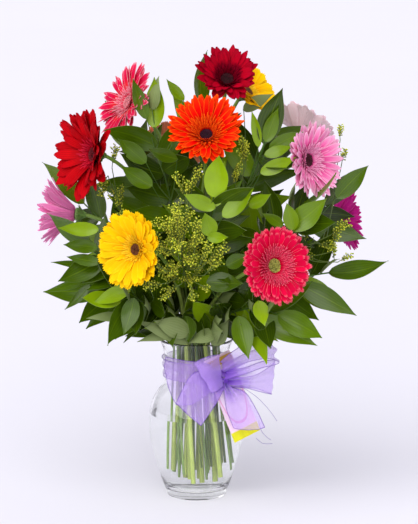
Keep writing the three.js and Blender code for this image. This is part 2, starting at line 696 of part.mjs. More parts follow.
const bandSolid = ribbonBand();
const sachetSolid = sachetCard();
const bowSolid = bow();
keep('ribbon_band', bandSolid);
keep('sachet', sachetSolid);
keep('ribbon_bow', bowSolid);

// Ruscus leaves and solidago twigs, each bent clear of everything else

RUSCUS.forEach((s) => keep(`ruscus_${s.name}`, s.stem));
SOLIDAGO.forEach((s) => keep(`solidago_${s.name}`, s.stem));

// Grows pieces on a stem: each takes the first bend that lies clear of all else and of its siblings.
function grow(name, stem, count, bends, make) {
  let body = stem;
  const siblings = [];
  for (let index = count - 1; index >= 0; index -= 1) {
    const bend = bends.find((b) => {
      const test = make(index, b, GAP);
      return !touches(test.solid, test.box, name)
        && !siblings.some((g) => g.box.intersectsBox(test.box) && !g.solid.intersect(test.solid).isEmpty());
    });
    if (bend) {
      const piece = make(index, bend, 0);
      body = body.add(piece.solid);
      siblings.push(piece);
      keep(name, piece.solid);
    }
  }
  return filled(body);
}

RUSCUS.forEach((s, i) => {
  s.body = grow(`ruscus_${s.name}`, s.stem, s.leaves, LEAF_BENDS, (index, bend, margin) => (
    leafAt(s, 100 + i, index, bend, margin)));
});

// The bends that a twig tries in order: its turn round the stem and its size.
const TWIG_BENDS = [
  [0, 1], [25, 1], [-25, 1], [50, 0.9], [-50, 0.9], [75, 0.85], [-75, 0.85], [110, 0.8],
  [-110, 0.8], [150, 0.75], [0, 0.6], [60, 0.6], [-60, 0.6], [120, 0.55], [-120, 0.55], [180, 0.5],
];

// One solidago twig: a slim root that swells into a plume of florets and ends in a point.
function twigAt(spec, seed, index, [turn, size], margin) {
  const tipTwig = index === spec.twigs - 1;
  const part = tipTwig ? 0.995 : TWIG_START + ((0.96 - TWIG_START) * index) / (spec.twigs - 1);
  const { at: base, along } = spotOn(spec.line, part);
  const around = rad(137.5 * index + turn + 20 * draw(seed, index));
  const across = new THREE.Vector3(0, 0, 1).cross(along).normalize().applyAxisAngle(along, around);
  const angle = tipTwig ? rad(0.1 * turn) : rad(48);
  const direction = along.clone().multiplyScalar(Math.cos(angle)).addScaledVector(across, Math.sin(angle));
  const length = spec.twig * size * (1.15 - 0.45 * part) * (0.9 + 0.2 * draw(seed, index + 20));
  const side = direction.clone().cross(across).normalize();
  const other = side.clone().cross(direction);
  const points = [];
  [[0, TWIG_RADIUS], [0.3, 0.75 * PLUME_RADIUS], [0.68, PLUME_RADIUS]].forEach(([share, radius]) => {
    for (let k = 0; k < PLUME_SIDES; k += 1) {
      const swing = (2 * Math.PI * k) / PLUME_SIDES;
      points.push(base.clone().addScaledVector(direction, share * length)
        .addScaledVector(side, (radius + margin) * Math.cos(swing))
        .addScaledVector(other, (radius + margin) * Math.sin(swing)));
    }
  });
  const end = points.length;
  points.push(base.clone().addScaledVector(direction, length + margin));
  const faces = [[0, 2, 1]];
  for (let a = 0; a < end; a += PLUME_SIDES) {
    for (let k = 0; k < PLUME_SIDES; k += 1) {
      const b = (k + 1) % PLUME_SIDES;
      if (a + PLUME_SIDES < end) {
        faces.push([a + k, a + b, a + b + PLUME_SIDES], [a + k, a + b + PLUME_SIDES, a + k + PLUME_SIDES]);
      } else {
        faces.push([a + k, a + b, end]);
      }
    }
  }
  return { solid: solidOf(points, faces), box: boxOf(points) };
}

SOLIDAGO.forEach((s, i) => {
  s.body = grow(`solidago_${s.name}`, s.stem, s.twigs, TWIG_BENDS, (index, bend, margin) => (
    twigAt(s, 200 + i, index, bend, margin)));
});

// Scene graph

const GLASS = { transparent: true, opacity: 0.35 };
addNode('vase', vaseSolid, 0xe4eaf0, 0.05, GLASS);
addNode('water', waterSolid, 0xdfeaf0, 0.02, GLASS);
addNode('ribbon_band', bandSolid, RIBBON_COLOUR, 0.55);
addNode('ribbon_bow', bowSolid, RIBBON_COLOUR, 0.55);
addNode('sachet', sachetSolid, 0xf6d9df, 0.4);
gerberaHeads.forEach((g) => {
  addNode(`gerbera_${g.name}_petals`, g.petals, g.petal, 0.6);
  addNode(`gerbera_${g.name}_disc`, g.disc, g.discColour, 0.8);
  addNode(`gerbera_${g.name}_stem`, g.green, GERBERA_GREEN, 0.6);
});
RUSCUS.forEach((s) => addNode(`ruscus_${s.name}`, s.body, RUSCUS_GREEN, 0.35));
SOLIDAGO.forEach((s) => addNode(`solidago_${s.name}`, s.body, SOLIDAGO_YELLOW, 0.8));

export default group;
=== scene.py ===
"""Gerberas with ruscus and solidago in a clear urn vase, tied at the neck with an organza ribbon.

Lengths are in millimetres up to the point where a mesh is made, and each mesh is in metres.
"""

import sys
import logging
from collections.abc import Sequence
from dataclasses import dataclass, field
from enum import Enum
from math import atan2, cos, floor, hypot, inf, pi, radians, sin

import bpy
import numpy as np
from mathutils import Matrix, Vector
from mathutils.bvhtree import BVHTree


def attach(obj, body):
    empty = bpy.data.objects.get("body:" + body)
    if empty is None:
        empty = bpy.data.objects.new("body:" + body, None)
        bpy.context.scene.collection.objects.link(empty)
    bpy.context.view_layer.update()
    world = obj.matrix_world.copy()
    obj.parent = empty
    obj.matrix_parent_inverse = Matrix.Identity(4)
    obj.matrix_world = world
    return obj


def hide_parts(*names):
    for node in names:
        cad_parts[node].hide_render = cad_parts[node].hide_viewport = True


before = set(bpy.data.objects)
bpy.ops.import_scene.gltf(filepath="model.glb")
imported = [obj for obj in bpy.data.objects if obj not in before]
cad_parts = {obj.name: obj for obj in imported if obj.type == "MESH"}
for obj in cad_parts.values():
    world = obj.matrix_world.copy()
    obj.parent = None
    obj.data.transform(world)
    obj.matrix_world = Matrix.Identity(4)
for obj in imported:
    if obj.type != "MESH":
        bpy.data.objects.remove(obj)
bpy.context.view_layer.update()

LOG = logging.getLogger("bouquet")
MM = 0.001
BODY = "root"
UP = np.array([0.0, 0.0, 1.0])
GOLDEN_ANGLE = radians(137.508)
FULL_TURN = 2 * pi

Array = np.ndarray
Triple = tuple[float, float, float]
Ends = tuple[float, float, float, float, float, float]
Colour = tuple[float, float, float]
Material = bpy.types.Material
Node = bpy.types.Node
Socket = bpy.types.NodeSocket


def rgb(red: float, green: float, blue: float) -> Colour:
    """Linear colour from the usual 0 to 255 values."""
    shares = (value / 255 for value in (red, green, blue))
    return tuple(s / 12.92 if s <= 0.04045 else ((s + 0.055) / 1.055) ** 2.4 for s in shares)


# Repeatable draws, directions and curves


def draw(seed: float, index: float) -> float:
    """A repeatable draw between 0 and 1 from two numbers."""
    value = sin(seed * 127.1 + index * 311.7 + 74.7) * 43758.5453
    return value - floor(value)


def unit(vector: Array) -> Array:
    """The vector at length 1."""
    return vector / np.linalg.norm(vector)


def lengths(vectors: Array) -> Array:
    """The length of each vector in an array of them."""
    return np.linalg.norm(vectors, axis=-1, keepdims=True)


def heading(azimuth: float, rise: float) -> Array:
    """Unit vector from an azimuth, 0 at the front and positive to the right, and a rise, in degrees."""
    a, r = radians(azimuth), radians(rise)
    return np.array([sin(a) * cos(r), -cos(a) * cos(r), sin(r)])


def turned(vector: Array, axis: Array, angle: float) -> Array:
    """The vector turned about a unit axis by an angle in radians."""
    c, s = cos(angle), sin(angle)
    return vector * c + np.cross(axis, vector) * s + axis * (axis @ vector) * (1 - c)


def spline(points: Array, count: int) -> Array:
    """A smooth curve through points, resampled.

    Args:
        points: rows of any width, in order.
        count: how many rows come back, the two ends among them.

    Returns:
        The resampled rows.
    """
    ends = np.vstack([2 * points[0] - points[1], points, 2 * points[-1] - points[-2]])
    place = np.linspace(0, len(points) - 1 - 1e-9, count)
    whole = place.astype(int)
    t = (place - whole)[:, None]
    a, b, c, d = (ends[whole + k] for k in range(4))
    return 0.5 * (2 * b + (c - a) * t + (2 * a - 5 * b + 4 * c - d) * t**2 + (3 * b - a - 3 * c + d) * t**3)


def spread(rows: int, columns: int) -> tuple[Array, Array]:
    """How far along, from 0 to 1, and across, from -1 to 1, each point of a grid lies."""
    return np.meshgrid(np.linspace(0, 1, rows), np.linspace(-1, 1, columns), indexing="ij")


def grid_quads(rows: int, columns: int) -> Array:
    """The quads of a grid of vertices."""
    index = np.arange(rows * columns).reshape(rows, columns)
    return np.stack([index[:-1, :-1], index[1:, :-1], index[1:, 1:], index[:-1, 1:]], -1).reshape(-1, 4)


# Meshes


class Surface:
    """Gathers the closed bodies of one piece, with the values that its finish reads."""

    VALUES = ("along", "across", "tone", "back")

    def __init__(self) -> None:
        """Starts empty."""
        self.points: list[Array] = []
        self.faces: list[Array] = []
        self.slots: list[Array] = []
        self.values: dict[str, list[Array]] = {name: [] for name in self.VALUES}
        self.count = 0

    def add(self, points: Array, faces: Sequence[Array], slot: int = 0, **values: object) -> None:
        """Adds one body.

        Args:
            points: its vertices, in millimetres.
            faces: arrays of quads or triangles that index them.
            slot: which of the piece's finishes it wears.
            values: along, across, tone and back, each a number or one number for each vertex.
        """
        for block in faces:
            self.faces.append(block + self.count)
            self.slots.append(np.full(len(block), slot))
        self.points.append(points)
        self.count += len(points)
        for name in self.VALUES:
            value = np.asarray(values.get(name, 0.0), dtype=float).ravel()
            self.values[name].append(np.broadcast_to(value, (len(points),)) if value.size == 1 else value)

    def blade(self, grid: Array, thickness: float, slot: int = 0, tone: object = 0.0) -> None:
        """Adds a thin closed blade round a grid of points.

        Args:
            grid: points as (rows from root to tip, columns from side to side, 3).
            thickness: how thick it is.
            slot: which of the piece's finishes it wears.
            tone: its own tint from 0 to 1, or that of each point of the grid.
        """
        rows, columns = grid.shape[:2]
        normal = np.cross(np.gradient(grid, axis=0), np.gradient(grid, axis=1))
        normal /= np.maximum(lengths(normal), 1e-12)
        half = 0.5 * thickness * normal
        points = np.concatenate([(grid + half).reshape(-1, 3), (grid - half).reshape(-1, 3)])
        index = np.arange(rows * columns).reshape(rows, columns)
        quads = grid_quads(rows, columns)
        rim = np.concatenate([index[0, :-1], index[:-1, -1], index[-1, :0:-1], index[:0:-1, 0]])
        after = np.roll(rim, -1)
        under = rows * columns
        walls = np.stack([rim, after, after + under, rim + under], -1)
        along, across = (np.tile(values.ravel(), 2) for values in spread(rows, columns))
        tint = np.tile(np.ravel(tone), 2) if np.size(tone) > 1 else tone
        self.add(points, [quads, (quads + under)[:, ::-1], walls], slot, along=along, across=across,
                 tone=tint, back=np.repeat([0.0, 1.0], under))

    def rings(self, points: Array, rows: int, slot: int, across: object, tone: float) -> None:
        """Adds a body of rings that two end points close.

        Args:
            points: the rings' points one after the other, then the two end points.
            rows: how many rings there are.
            slot: which of the piece's finishes it wears.
            across: what the finish reads as across.
            tone: its own tint, from 0 to 1.
        """
        sides = (len(points) - 2) // rows
        index = np.arange(rows * sides).reshape(rows, sides)
        after = np.roll(index, -1, axis=1)
        quads = np.stack([index[:-1], after[:-1], after[1:], index[1:]], -1).reshape(-1, 4)
        first = np.full(sides, len(points) - 2)
        caps = np.concatenate([
            np.stack([first, after[0], index[0]], -1), np.stack([first + 1, index[-1], after[-1]], -1)])
        along = np.concatenate([np.repeat(np.linspace(0, 1, rows), sides), [0, 1]])
        self.add(points, [quads, caps], slot, along=along, across=across, tone=tone)

    def tube(self, line: Array, radii: Array, sides: int, slot: int = 0, tone: float = 0.0) -> None:
        """Adds a closed round tube.

        Args:
            line: its centre points.
            radii: its radius at each point.
            sides: how many faces go round it.
            slot: which of the piece's finishes it wears.
            tone: its own tint, from 0 to 1.
        """
        tangents = np.gradient(line, axis=0)
        tangents /= lengths(tangents)
        side = unit(np.cross(tangents[0], [0.31, 0.87, 0.38]))
        angles = np.linspace(0, FULL_TURN, sides, endpoint=False)
        rings = []
        for centre, tangent, radius in zip(line, tangents, radii):
            side = unit(side - tangent * (tangent @ side))
            other = np.cross(tangent, side)
            rings.append(centre + radius * (np.outer(np.cos(angles), side) + np.outer(np.sin(angles), other)))
        across = np.concatenate([np.tile(np.linspace(-1, 1, sides), len(line)), [0, 0]])
        self.rings(np.concatenate([*rings, line[:1], line[-1:]]), len(line), slot, across, tone)

    def lathe(self, profile: Array, segments: int) -> None:
        """Adds a body turned about the upright axis.

        Args:
            profile: [radius, height] rows that start and end on the axis, outside first.
            segments: how many faces go round it.
        """
        ring = profile[1:-1]
        angles = np.linspace(0, FULL_TURN, segments, endpoint=False)
        flat = ring[:, None, :1] * np.stack([np.cos(angles), np.sin(angles)], -1)[None]
        tall = np.repeat(ring[:, 1], segments).reshape(len(ring), segments, 1)
        ends = [[0, 0, profile[0, 1]], [0, 0, profile[-1, 1]]]
        points = np.concatenate([np.concatenate([flat, tall], -1).reshape(-1, 3), ends])
        self.rings(points, len(ring), 0, 0.0, 0.0)

    def stamp(
        self, template: "Surface", origins: Array, axes: Array, scales: Array, tones: Array, slot: int = 0
    ) -> None:
        """Adds copies of a small body.

        Args:
            template: what is copied.
            origins: where each copy's own origin goes.
            axes: each copy's x, y and z directions, as rows of a 3 by 3 matrix.
            scales: each copy's size.
            tones: each copy's tint.
            slot: the finish of all copies.
        """
        points = template.points[0]
        placed = np.einsum("vi,nij->nvj", points, axes) * scales[:, None, None] + origins[:, None, :]
        shift = np.arange(len(origins)) * len(points)
        for block in template.faces:
            copies = (block[None] + shift[:, None, None]).reshape(-1, block.shape[1]) + self.count
            self.faces.append(copies)
            self.slots.append(np.full(len(copies), slot))
        self.points.append(placed.reshape(-1, 3))
        self.count += placed.shape[0] * placed.shape[1]
        for name in self.VALUES:
            own = np.tile(template.values[name][0], len(origins))
            self.values[name].append(np.repeat(tones, len(points)) if name == "tone" else own)

    def piece(
        self, name: str, finishes: Sequence[Material], slot: str, node: str, crease: float = 50.0
    ) -> bpy.types.Object:
        """Makes the piece as an object that rides on the part.

        Args:
            name: the piece's name.
            finishes: its materials, in the order of its slots.
            slot: the record's material slot, which is not used.
            node: the node of the frame that it stands for.
            crease: the angle in degrees past which an edge stays sharp.

        Returns:
            The new object.
        """
        mesh = bpy.data.meshes.new(name)
        faces = [row for block in self.faces for row in block.tolist()]
        mesh.from_pydata((np.concatenate(self.points) * MM).tolist(), [], faces)
        for key, parts in self.values.items():
            attribute = mesh.attributes.new(key, "FLOAT", "POINT")
            attribute.data.foreach_set("value", np.concatenate(parts).astype(np.float32))
        for finish in finishes:
            mesh.materials.append(finish)
        mesh.polygons.foreach_set("material_index", np.concatenate(self.slots).astype(np.int32))
        mesh.shade_smooth()
        mesh.set_sharp_from_angle(angle=radians(crease))
        mesh.update()
        made = linked(name, mesh)
        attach(made, BODY)
        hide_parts(node)
        LOG.info("%s: %d triangles", name, sum(len(f) - 2 for f in faces))
        return made


def linked(name: str, data: bpy.types.ID) -> bpy.types.Object:
    """A new object of that data, linked to the scene."""
    made = bpy.data.objects.new(name, data)
    bpy.context.scene.collection.objects.link(made)
    return made


# Shader groups


class Effect(Enum):
    """The shader effects that several finishes share: each one's usual inputs and its output."""

    MOTTLE = ("mottle", {"Scale": 60.0, "Amount": 0.1}, "Value")
    STRIPES = ("stripes", {"Across": 0.0, "Along": 0.0, "Count": 7.0, "Wander": 0.1}, "Line")
    WEAVE = ("weave", {"Across": 0.0, "Along": 0.0, "Warp": 60.0, "Weft": 200.0}, "Thread")


class Shading:
    """A node tree, with short ways to add to it."""

    def __init__(self, tree: bpy.types.NodeTree) -> None:
        """Keeps the tree that the nodes go into."""
        self.tree = tree

    def node(self, kind: str, *sources: object, **settings: object) -> Node:
        """A new node of that kind with its settings and its first inputs."""
        made = self.tree.nodes.new(kind)
        for key, value in settings.items():
            setattr(made, key, value)
        for socket, source in zip(made.inputs, sources):
            self.feed(socket, source)
        return made

    def feed(self, socket: Socket, source: object) -> None:
        """Links a socket or sets a plain value."""
        if isinstance(source, bpy.types.NodeSocket):
            self.tree.links.new(source, socket)
        elif isinstance(source, tuple) and len(source) == 3 and socket.type == "RGBA":
            socket.default_value = (*source, 1.0)
        else:
            socket.default_value = source

    def fill(self, made: Node, **inputs: object) -> None:
        """Feeds a node's inputs by name, written with _ for each space."""
        for name, source in inputs.items():
            self.feed(made.inputs[name.replace("_", " ")], source)

    def math(self, operation: str, *inputs: object) -> Socket:
        """A Math node's result."""
        return self.node("ShaderNodeMath", *inputs, operation=operation).outputs[0]

    def times(self, first: object, second: object) -> Socket:
        """Two values multiplied."""
        return self.math("MULTIPLY", first, second)

    def plus(self, first: object, second: object) -> Socket:
        """Two values added."""
        return self.math("ADD", first, second)

    def wave(self, value: object, count: object) -> Socket:
        """Even ridges along a value, from 0 to 1."""
        return self.plus(self.times(self.math("SINE", self.times(value, count)), 0.5), 0.5)

    def mix(self, share: object, first: object, second: object, blend: str = "MIX") -> Socket:
        """Two colours mixed."""
        made = self.node("ShaderNodeMix", data_type="RGBA", blend_type=blend, clamp_factor=True)
        self.feed(made.inputs["Factor"], share)
        self.feed(made.inputs[6], first)
        self.feed(made.inputs[7], second)
        return made.outputs[2]

    def ramp(self, share: Socket, *stops: tuple[float, Colour]) -> Socket:
        """A colour ramp's colour."""
        made = self.node("ShaderNodeValToRGB")
        elements = made.color_ramp.elements
        while len(elements) < len(stops):
            elements.new(0.5)
        for element, (position, colour) in zip(elements, stops):
            element.position = position
            element.color = (*colour, 1.0)
        self.feed(made.inputs["Fac"], share)
        return made.outputs["Color"]

    def values(self, *names: str) -> list[Socket]:
        """Values that the mesh holds for each vertex."""
        return [self.node("ShaderNodeAttribute", attribute_name=name).outputs["Fac"] for name in names]

    def range(self, value: Socket, low: float, high: float, to_low: float, to_high: float) -> Socket:
        """A value brought from one range smoothly to another."""
        ends = low, high, to_low, to_high
        made = self.node("ShaderNodeMapRange", value, *ends, interpolation_type="SMOOTHSTEP")
        return made.outputs["Result"]

    def toned(self, colour: object, value: object) -> Socket:
        """A colour made lighter or darker by a factor."""
        made = self.node("ShaderNodeHueSaturation")
        self.fill(made, Value=value, Color=colour)
        return made.outputs["Color"]

    def bump(self, height: Socket, strength: float, distance: float) -> Socket:
        """A normal bent by a height in millimetres."""
        made = self.node("ShaderNodeBump")
        self.fill(made, Strength=strength, Distance=distance * MM, Height=height)
        return made.outputs["Normal"]

    def effect(self, effect: Effect, **inputs: object) -> Socket:
        """What one of the shared effects puts out with its own values."""
        made = self.node("ShaderNodeGroup", node_tree=EFFECTS.tree(effect))
        self.fill(made, **inputs)
        return made.outputs[0]

    def blotch(self, scale: float, amount: float) -> Socket:
        """Soft blotches that swing about 1."""
        return self.effect(Effect.MOTTLE, Scale=scale, Amount=amount)


class EffectLibrary:
    """Builds each shared effect once, as a node group with named sockets."""

    def __init__(self) -> None:
        """Starts with none built."""
        self.made: dict[Effect, bpy.types.NodeTree] = {}

    def tree(self, effect: Effect) -> bpy.types.NodeTree:
        """The group of an effect, built at its first use."""
        if effect not in self.made:
            name, inputs, output = effect.value
            tree = bpy.data.node_groups.new(name, "ShaderNodeTree")
            for label, value in inputs.items():
                socket = tree.interface.new_socket(label, in_out="INPUT", socket_type="NodeSocketFloat")
                socket.default_value = value
            tree.interface.new_socket(output, in_out="OUTPUT", socket_type="NodeSocketFloat")
            net = Shading(tree)
            given = {socket.name: socket for socket in net.node("NodeGroupInput").outputs}
            result = net.node("NodeGroupOutput")
            makers = {Effect.MOTTLE: self.mottle, Effect.STRIPES: self.stripes, Effect.WEAVE: self.weave}
            net.feed(result.inputs[output], makers[effect](net, given))
            self.made[effect] = tree
        return self.made[effect]

    @staticmethod
    def noise(net: Shading, **inputs: object) -> Socket:
        """Noise in the object's own space."""
        place = net.node("ShaderNodeTexCoord").outputs["Object"]
        made = net.node("ShaderNodeTexNoise")
        net.fill(made, Vector=place, **inputs)
        return made.outputs["Fac"]

    def mottle(self, net: Shading, given: dict[str, Socket]) -> Socket:
        """Soft blotches over the surface: Value swings about 1 by Amount."""
        noise = self.noise(net, Detail=3.0, Scale=given["Scale"])
        swing = net.times(net.math("SUBTRACT", noise, 0.5), given["Amount"])
        return net.plus(net.times(swing, 2.0), 1.0)

    def stripes(self, net: Shading, given: dict[str, Socket]) -> Socket:
        """Fine lines that run from root to tip: Line is 1 on a vein and 0 between veins."""
        stray = net.times(self.noise(net, Scale=130.0), given["Wander"])
        wave = net.wave(net.plus(given["Across"], stray), given["Count"])
        sharp = net.math("POWER", wave, 3.0)
        return net.times(sharp, net.range(given["Along"], 0.75, 1.0, 1.0, 0.3))

    def weave(self, net: Shading, given: dict[str, Socket]) -> Socket:
        """Threads that cross each other: Thread is 1 on a thread and 0 in the gaps."""
        warp = net.wave(given["Across"], given["Warp"])
        return net.math("MAXIMUM", warp, net.wave(given["Along"], given["Weft"]))


EFFECTS = EffectLibrary()


# Finishes


class MaterialShading(Shading):
    """The node tree of a material, with its main shader and its output."""

    def __init__(self, tree: bpy.types.NodeTree) -> None:
        """Adds the two nodes to the tree."""
        super().__init__(tree)
        self.shader = self.node("ShaderNodeBsdfPrincipled")
        self.output = self.node("ShaderNodeOutputMaterial")
        self.feed(self.output.inputs["Surface"], self.shader.outputs["BSDF"])

    def skin(self, **inputs: object) -> None:
        """Feeds the main shader's inputs."""
        self.fill(self.shader, **inputs)

    def blend(self, share: object, second: Node) -> None:
        """Mixes another shader into the output by a share."""
        both = self.node("ShaderNodeMixShader", share, self.shader.outputs["BSDF"], second.outputs["BSDF"])
        self.feed(self.output.inputs["Surface"], both.outputs["Shader"])

    def let_through(self, colour: Socket, share: float) -> None:
        """Mixes in a share of light of that colour that passes through a thin blade from behind."""
        self.blend(share, self.node("ShaderNodeBsdfTranslucent", colour))


@dataclass(frozen=True)
class Finish:
    """A finish with its own name; each kind sets up its own shader."""

    name: str

    def material(self) -> Material:
        """The finish as a material."""
        made = bpy.data.materials.new(self.name)
        made.use_nodes = True
        made.node_tree.nodes.clear()
        self.dress(MaterialShading(made.node_tree))
        return made

    def dress(self, net: MaterialShading) -> None:
        """Sets up the shader; a plain finish leaves it as it is."""


@dataclass(frozen=True)
class PetalFinish(Finish):
    """A petal's colours from root to tip, along its edges and on its reverse."""

    root: Colour
    middle: Colour
    tip: Colour
    edge: Colour
    reverse: Colour
    edge_share: float = 0.5
    edge_start: float = 0.55
    vein: float = 0.2

    THROUGH = 0.14

    def dress(self, net: MaterialShading) -> None:
        """Sets up the shader."""
        along, across, tone, back = net.values(*Surface.VALUES)
        face = net.ramp(along, (0.0, self.root), (0.28, self.root), (0.62, self.middle), (1.0, self.tip))
        rim = net.range(net.math("ABSOLUTE", across), self.edge_start, 1.0, 0.0, 1.0)
        outer = net.range(along, 0.9, 1.0, 0.0, 0.8)
        edge = net.times(net.math("MAXIMUM", rim, outer), self.edge_share)
        edge = net.times(edge, net.range(along, 0.1, 0.6, 0.1, 1.0))
        face = net.mix(edge, face, self.edge)
        line = net.effect(Effect.STRIPES, Across=across, Along=along, Count=16.0, Wander=0.15)
        deep = net.mix(1.0, face, tuple(0.55 * c for c in self.root), "MULTIPLY")
        face = net.mix(net.times(line, self.vein), face, deep)
        colour = net.mix(net.times(back, 0.65), face, self.reverse)
        shade = net.times(net.blotch(90.0, 0.12), net.range(tone, 0.0, 1.0, 0.9, 1.12))
        colour = net.toned(colour, shade)
        net.skin(Base_Color=colour, Roughness=0.55, Specular_IOR_Level=0.05,
                 Normal=net.bump(line, 0.5, 0.25))
        net.let_through(colour, self.THROUGH)


@dataclass(frozen=True)
class LeafFinish(Finish):
    """A glossy leaf: its upper face from dark to young, partly its own tint and partly painted light and
    shade, its pale reverse and its veins.
    """

    dark: Colour = rgb(30, 46, 3)
    middle: Colour = rgb(80, 112, 4)
    young: Colour = rgb(162, 198, 14)
    reverse: Colour = rgb(134, 150, 90)
    roughness: float = 0.24
    through: float = 0.22

    def dress(self, net: MaterialShading) -> None:
        """Sets up the shader."""
        along, across, tone, back = net.values(*Surface.VALUES)
        # the ramp from dark to young is partly painted light and shade: leaves with a high tone come out as
        # if lit, those with a low tone as if in shade
        face = net.ramp(tone, (0.0, self.dark), (0.55, self.middle), (1.0, self.young))
        line = net.effect(Effect.STRIPES, Across=across, Along=along, Count=26.0, Wander=0.1)
        rib = net.range(net.math("ABSOLUTE", across), 0.0, 0.09, 1.0, 0.0)
        pale = net.mix(0.5, face, self.young)
        face = net.mix(net.times(line, 0.16), face, pale)
        face = net.mix(net.times(rib, 0.4), face, pale)
        colour = net.mix(back, face, net.mix(net.times(line, 0.25), self.reverse, self.middle))
        blotch = net.blotch(45.0, 0.2)
        colour = net.toned(colour, blotch)
        dull = net.times(net.range(back, 0.0, 1.0, self.roughness, 0.6), blotch)
        height = net.plus(net.times(line, 0.3), rib)
        net.skin(Base_Color=colour, Roughness=dull, Specular_IOR_Level=0.5,
                 Normal=net.bump(height, 0.3, 0.3))
        net.let_through(net.mix(0.5, colour, self.young), self.through)


@dataclass(frozen=True)
class StemFinish(Finish):
    """A stem or other small green part, from its foot to its head."""

    foot: Colour
    head: Colour
    roughness: float = 0.45
    ridges: float = 20.0

    def dress(self, net: MaterialShading) -> None:
        """Sets up the shader."""
        along, across, tone = net.values("along", "across", "tone")
        colour = net.mix(net.range(along, 0.1, 0.9, 0.0, 1.0), self.foot, self.head)
        line = net.effect(Effect.STRIPES, Across=across, Along=along, Count=self.ridges, Wander=0.2)
        colour = net.mix(net.times(line, 0.3), colour, tuple(0.6 * c for c in self.head))
        blotch = net.blotch(70.0, 0.22)
        shade = net.times(blotch, net.range(tone, 0.0, 1.0, 0.75, 1.15))
        net.skin(Base_Color=net.toned(colour, shade), Roughness=net.times(blotch, self.roughness),
                 Normal=net.bump(line, 0.5, 0.3))


@dataclass(frozen=True)
class FloretFinish(Finish):
    """Small florets, from their dark foot to their bright tip."""

    foot: Colour
    tip: Colour
    through: float = 0.15

    def dress(self, net: MaterialShading) -> None:
        """Sets up the shader."""
        along, tone = net.values("along", "tone")
        colour = net.mix(net.range(along, 0.1, 0.9, 0.0, 1.0), self.foot, self.tip)
        # the tone darkens the colour: a random tint on the gerbera discs, and on the solidago partly painted
        # shade of the florets deep in the spray
        shade = net.times(net.blotch(300.0, 0.2), net.range(tone, 0.0, 0.8, 0.5, 1.15))
        colour = net.toned(colour, shade)
        net.skin(Base_Color=colour, Roughness=0.6)
        net.let_through(colour, self.through)


@dataclass(frozen=True)
class GlassFinish(Finish):
    """Clear glass or water."""

    tint: Colour
    index: float
    clear: float = 0.0

    def dress(self, net: MaterialShading) -> None:
        """Sets up the shader, which lets light straight through to what lies in its shadow."""
        net.skin(Base_Color=self.tint, Roughness=0.0, IOR=self.index, Transmission_Weight=1.0,
                 Normal=net.bump(net.blotch(14.0, 0.5), 0.06, 0.6))
        shadow = net.node("ShaderNodeLightPath").outputs["Is Shadow Ray"]
        share = net.math("MAXIMUM", shadow, self.clear)
        net.blend(share, net.node("ShaderNodeBsdfTransparent"))


@dataclass(frozen=True)
class OrganzaFinish(Finish):
    """Sheer woven ribbon, thin between its threads."""

    thin: Colour
    thick: Colour
    cover: float = 0.2

    def dress(self, net: MaterialShading) -> None:
        """Sets up the shader."""
        along, across = net.values("along", "across")
        thread = net.effect(Effect.WEAVE, Across=across, Along=along, Warp=130.0, Weft=420.0)
        blotch = net.blotch(40.0, 0.25)
        (gather,) = net.values("tone")
        colour = net.mix(net.times(gather, blotch), self.thin, self.thick)
        cover = net.range(thread, 0.2, 0.9, self.cover * 0.75, self.cover * 1.25)
        cover = net.times(net.plus(cover, net.times(gather, 0.45)), blotch)
        net.skin(Base_Color=colour, Roughness=0.38, Sheen_Weight=0.6, Alpha=cover,
                 Normal=net.bump(thread, 0.25, 0.1))


@dataclass(frozen=True)
class ThreadFinish(Finish):
    """The satin thread along the ribbon's edges."""

    colour: Colour

    def dress(self, net: MaterialShading) -> None:
        """Sets up the shader."""
        twist = net.wave(*net.values("along"), 500.0)
        colour = net.mix(twist, tuple(0.7 * c for c in self.colour), self.colour)
        net.skin(Base_Color=colour, Roughness=0.4, Normal=net.bump(twist, 0.4, 0.15))


@dataclass(frozen=True)
class FilmFinish(Finish):
    """Glossy packet film: a plain field inside a rounded outline, with a band at each end."""

    inside: Colour
    outline: Colour
    band: Colour
    top: Colour

    def dress(self, net: MaterialShading) -> None:
        """Sets up the shader."""
        along, across, ring = net.values("along", "across", "tone")
        inner, outer = net.range(ring, 0.89, 0.92, 0.0, 1.0), net.range(ring, 0.95, 0.98, 1.0, 0.0)
        on_line = net.times(inner, outer)
        colour = net.mix(net.range(ring, 0.96, 1.04, 0.0, 0.2), self.inside, self.outline)
        colour = net.mix(net.times(on_line, 0.8), colour, self.outline)
        low = net.range(along, 0.055, 0.065, 1.0, 0.0)
        high = net.range(along, 0.84, 0.86, 0.0, 1.0)
        colour = net.mix(high, net.mix(low, colour, self.band), self.top)
        blotch = net.blotch(50.0, 0.08)
        net.skin(Base_Color=net.toned(colour, blotch), Roughness=net.times(blotch, 0.3))
        crimp = net.times(net.math("SINE", net.times(across, 90.0)), net.math("MAXIMUM", low, high))
        net.skin(Normal=net.bump(crimp, 0.5, 0.25))


@dataclass(frozen=True)
class PaperFinish(Finish):
    """The matt floor."""

    colour: Colour

    def dress(self, net: MaterialShading) -> None:
        """Sets up the shader."""
        net.skin(Base_Color=net.toned(self.colour, net.blotch(1.5, 0.02)), Roughness=0.8)


# How the stems run


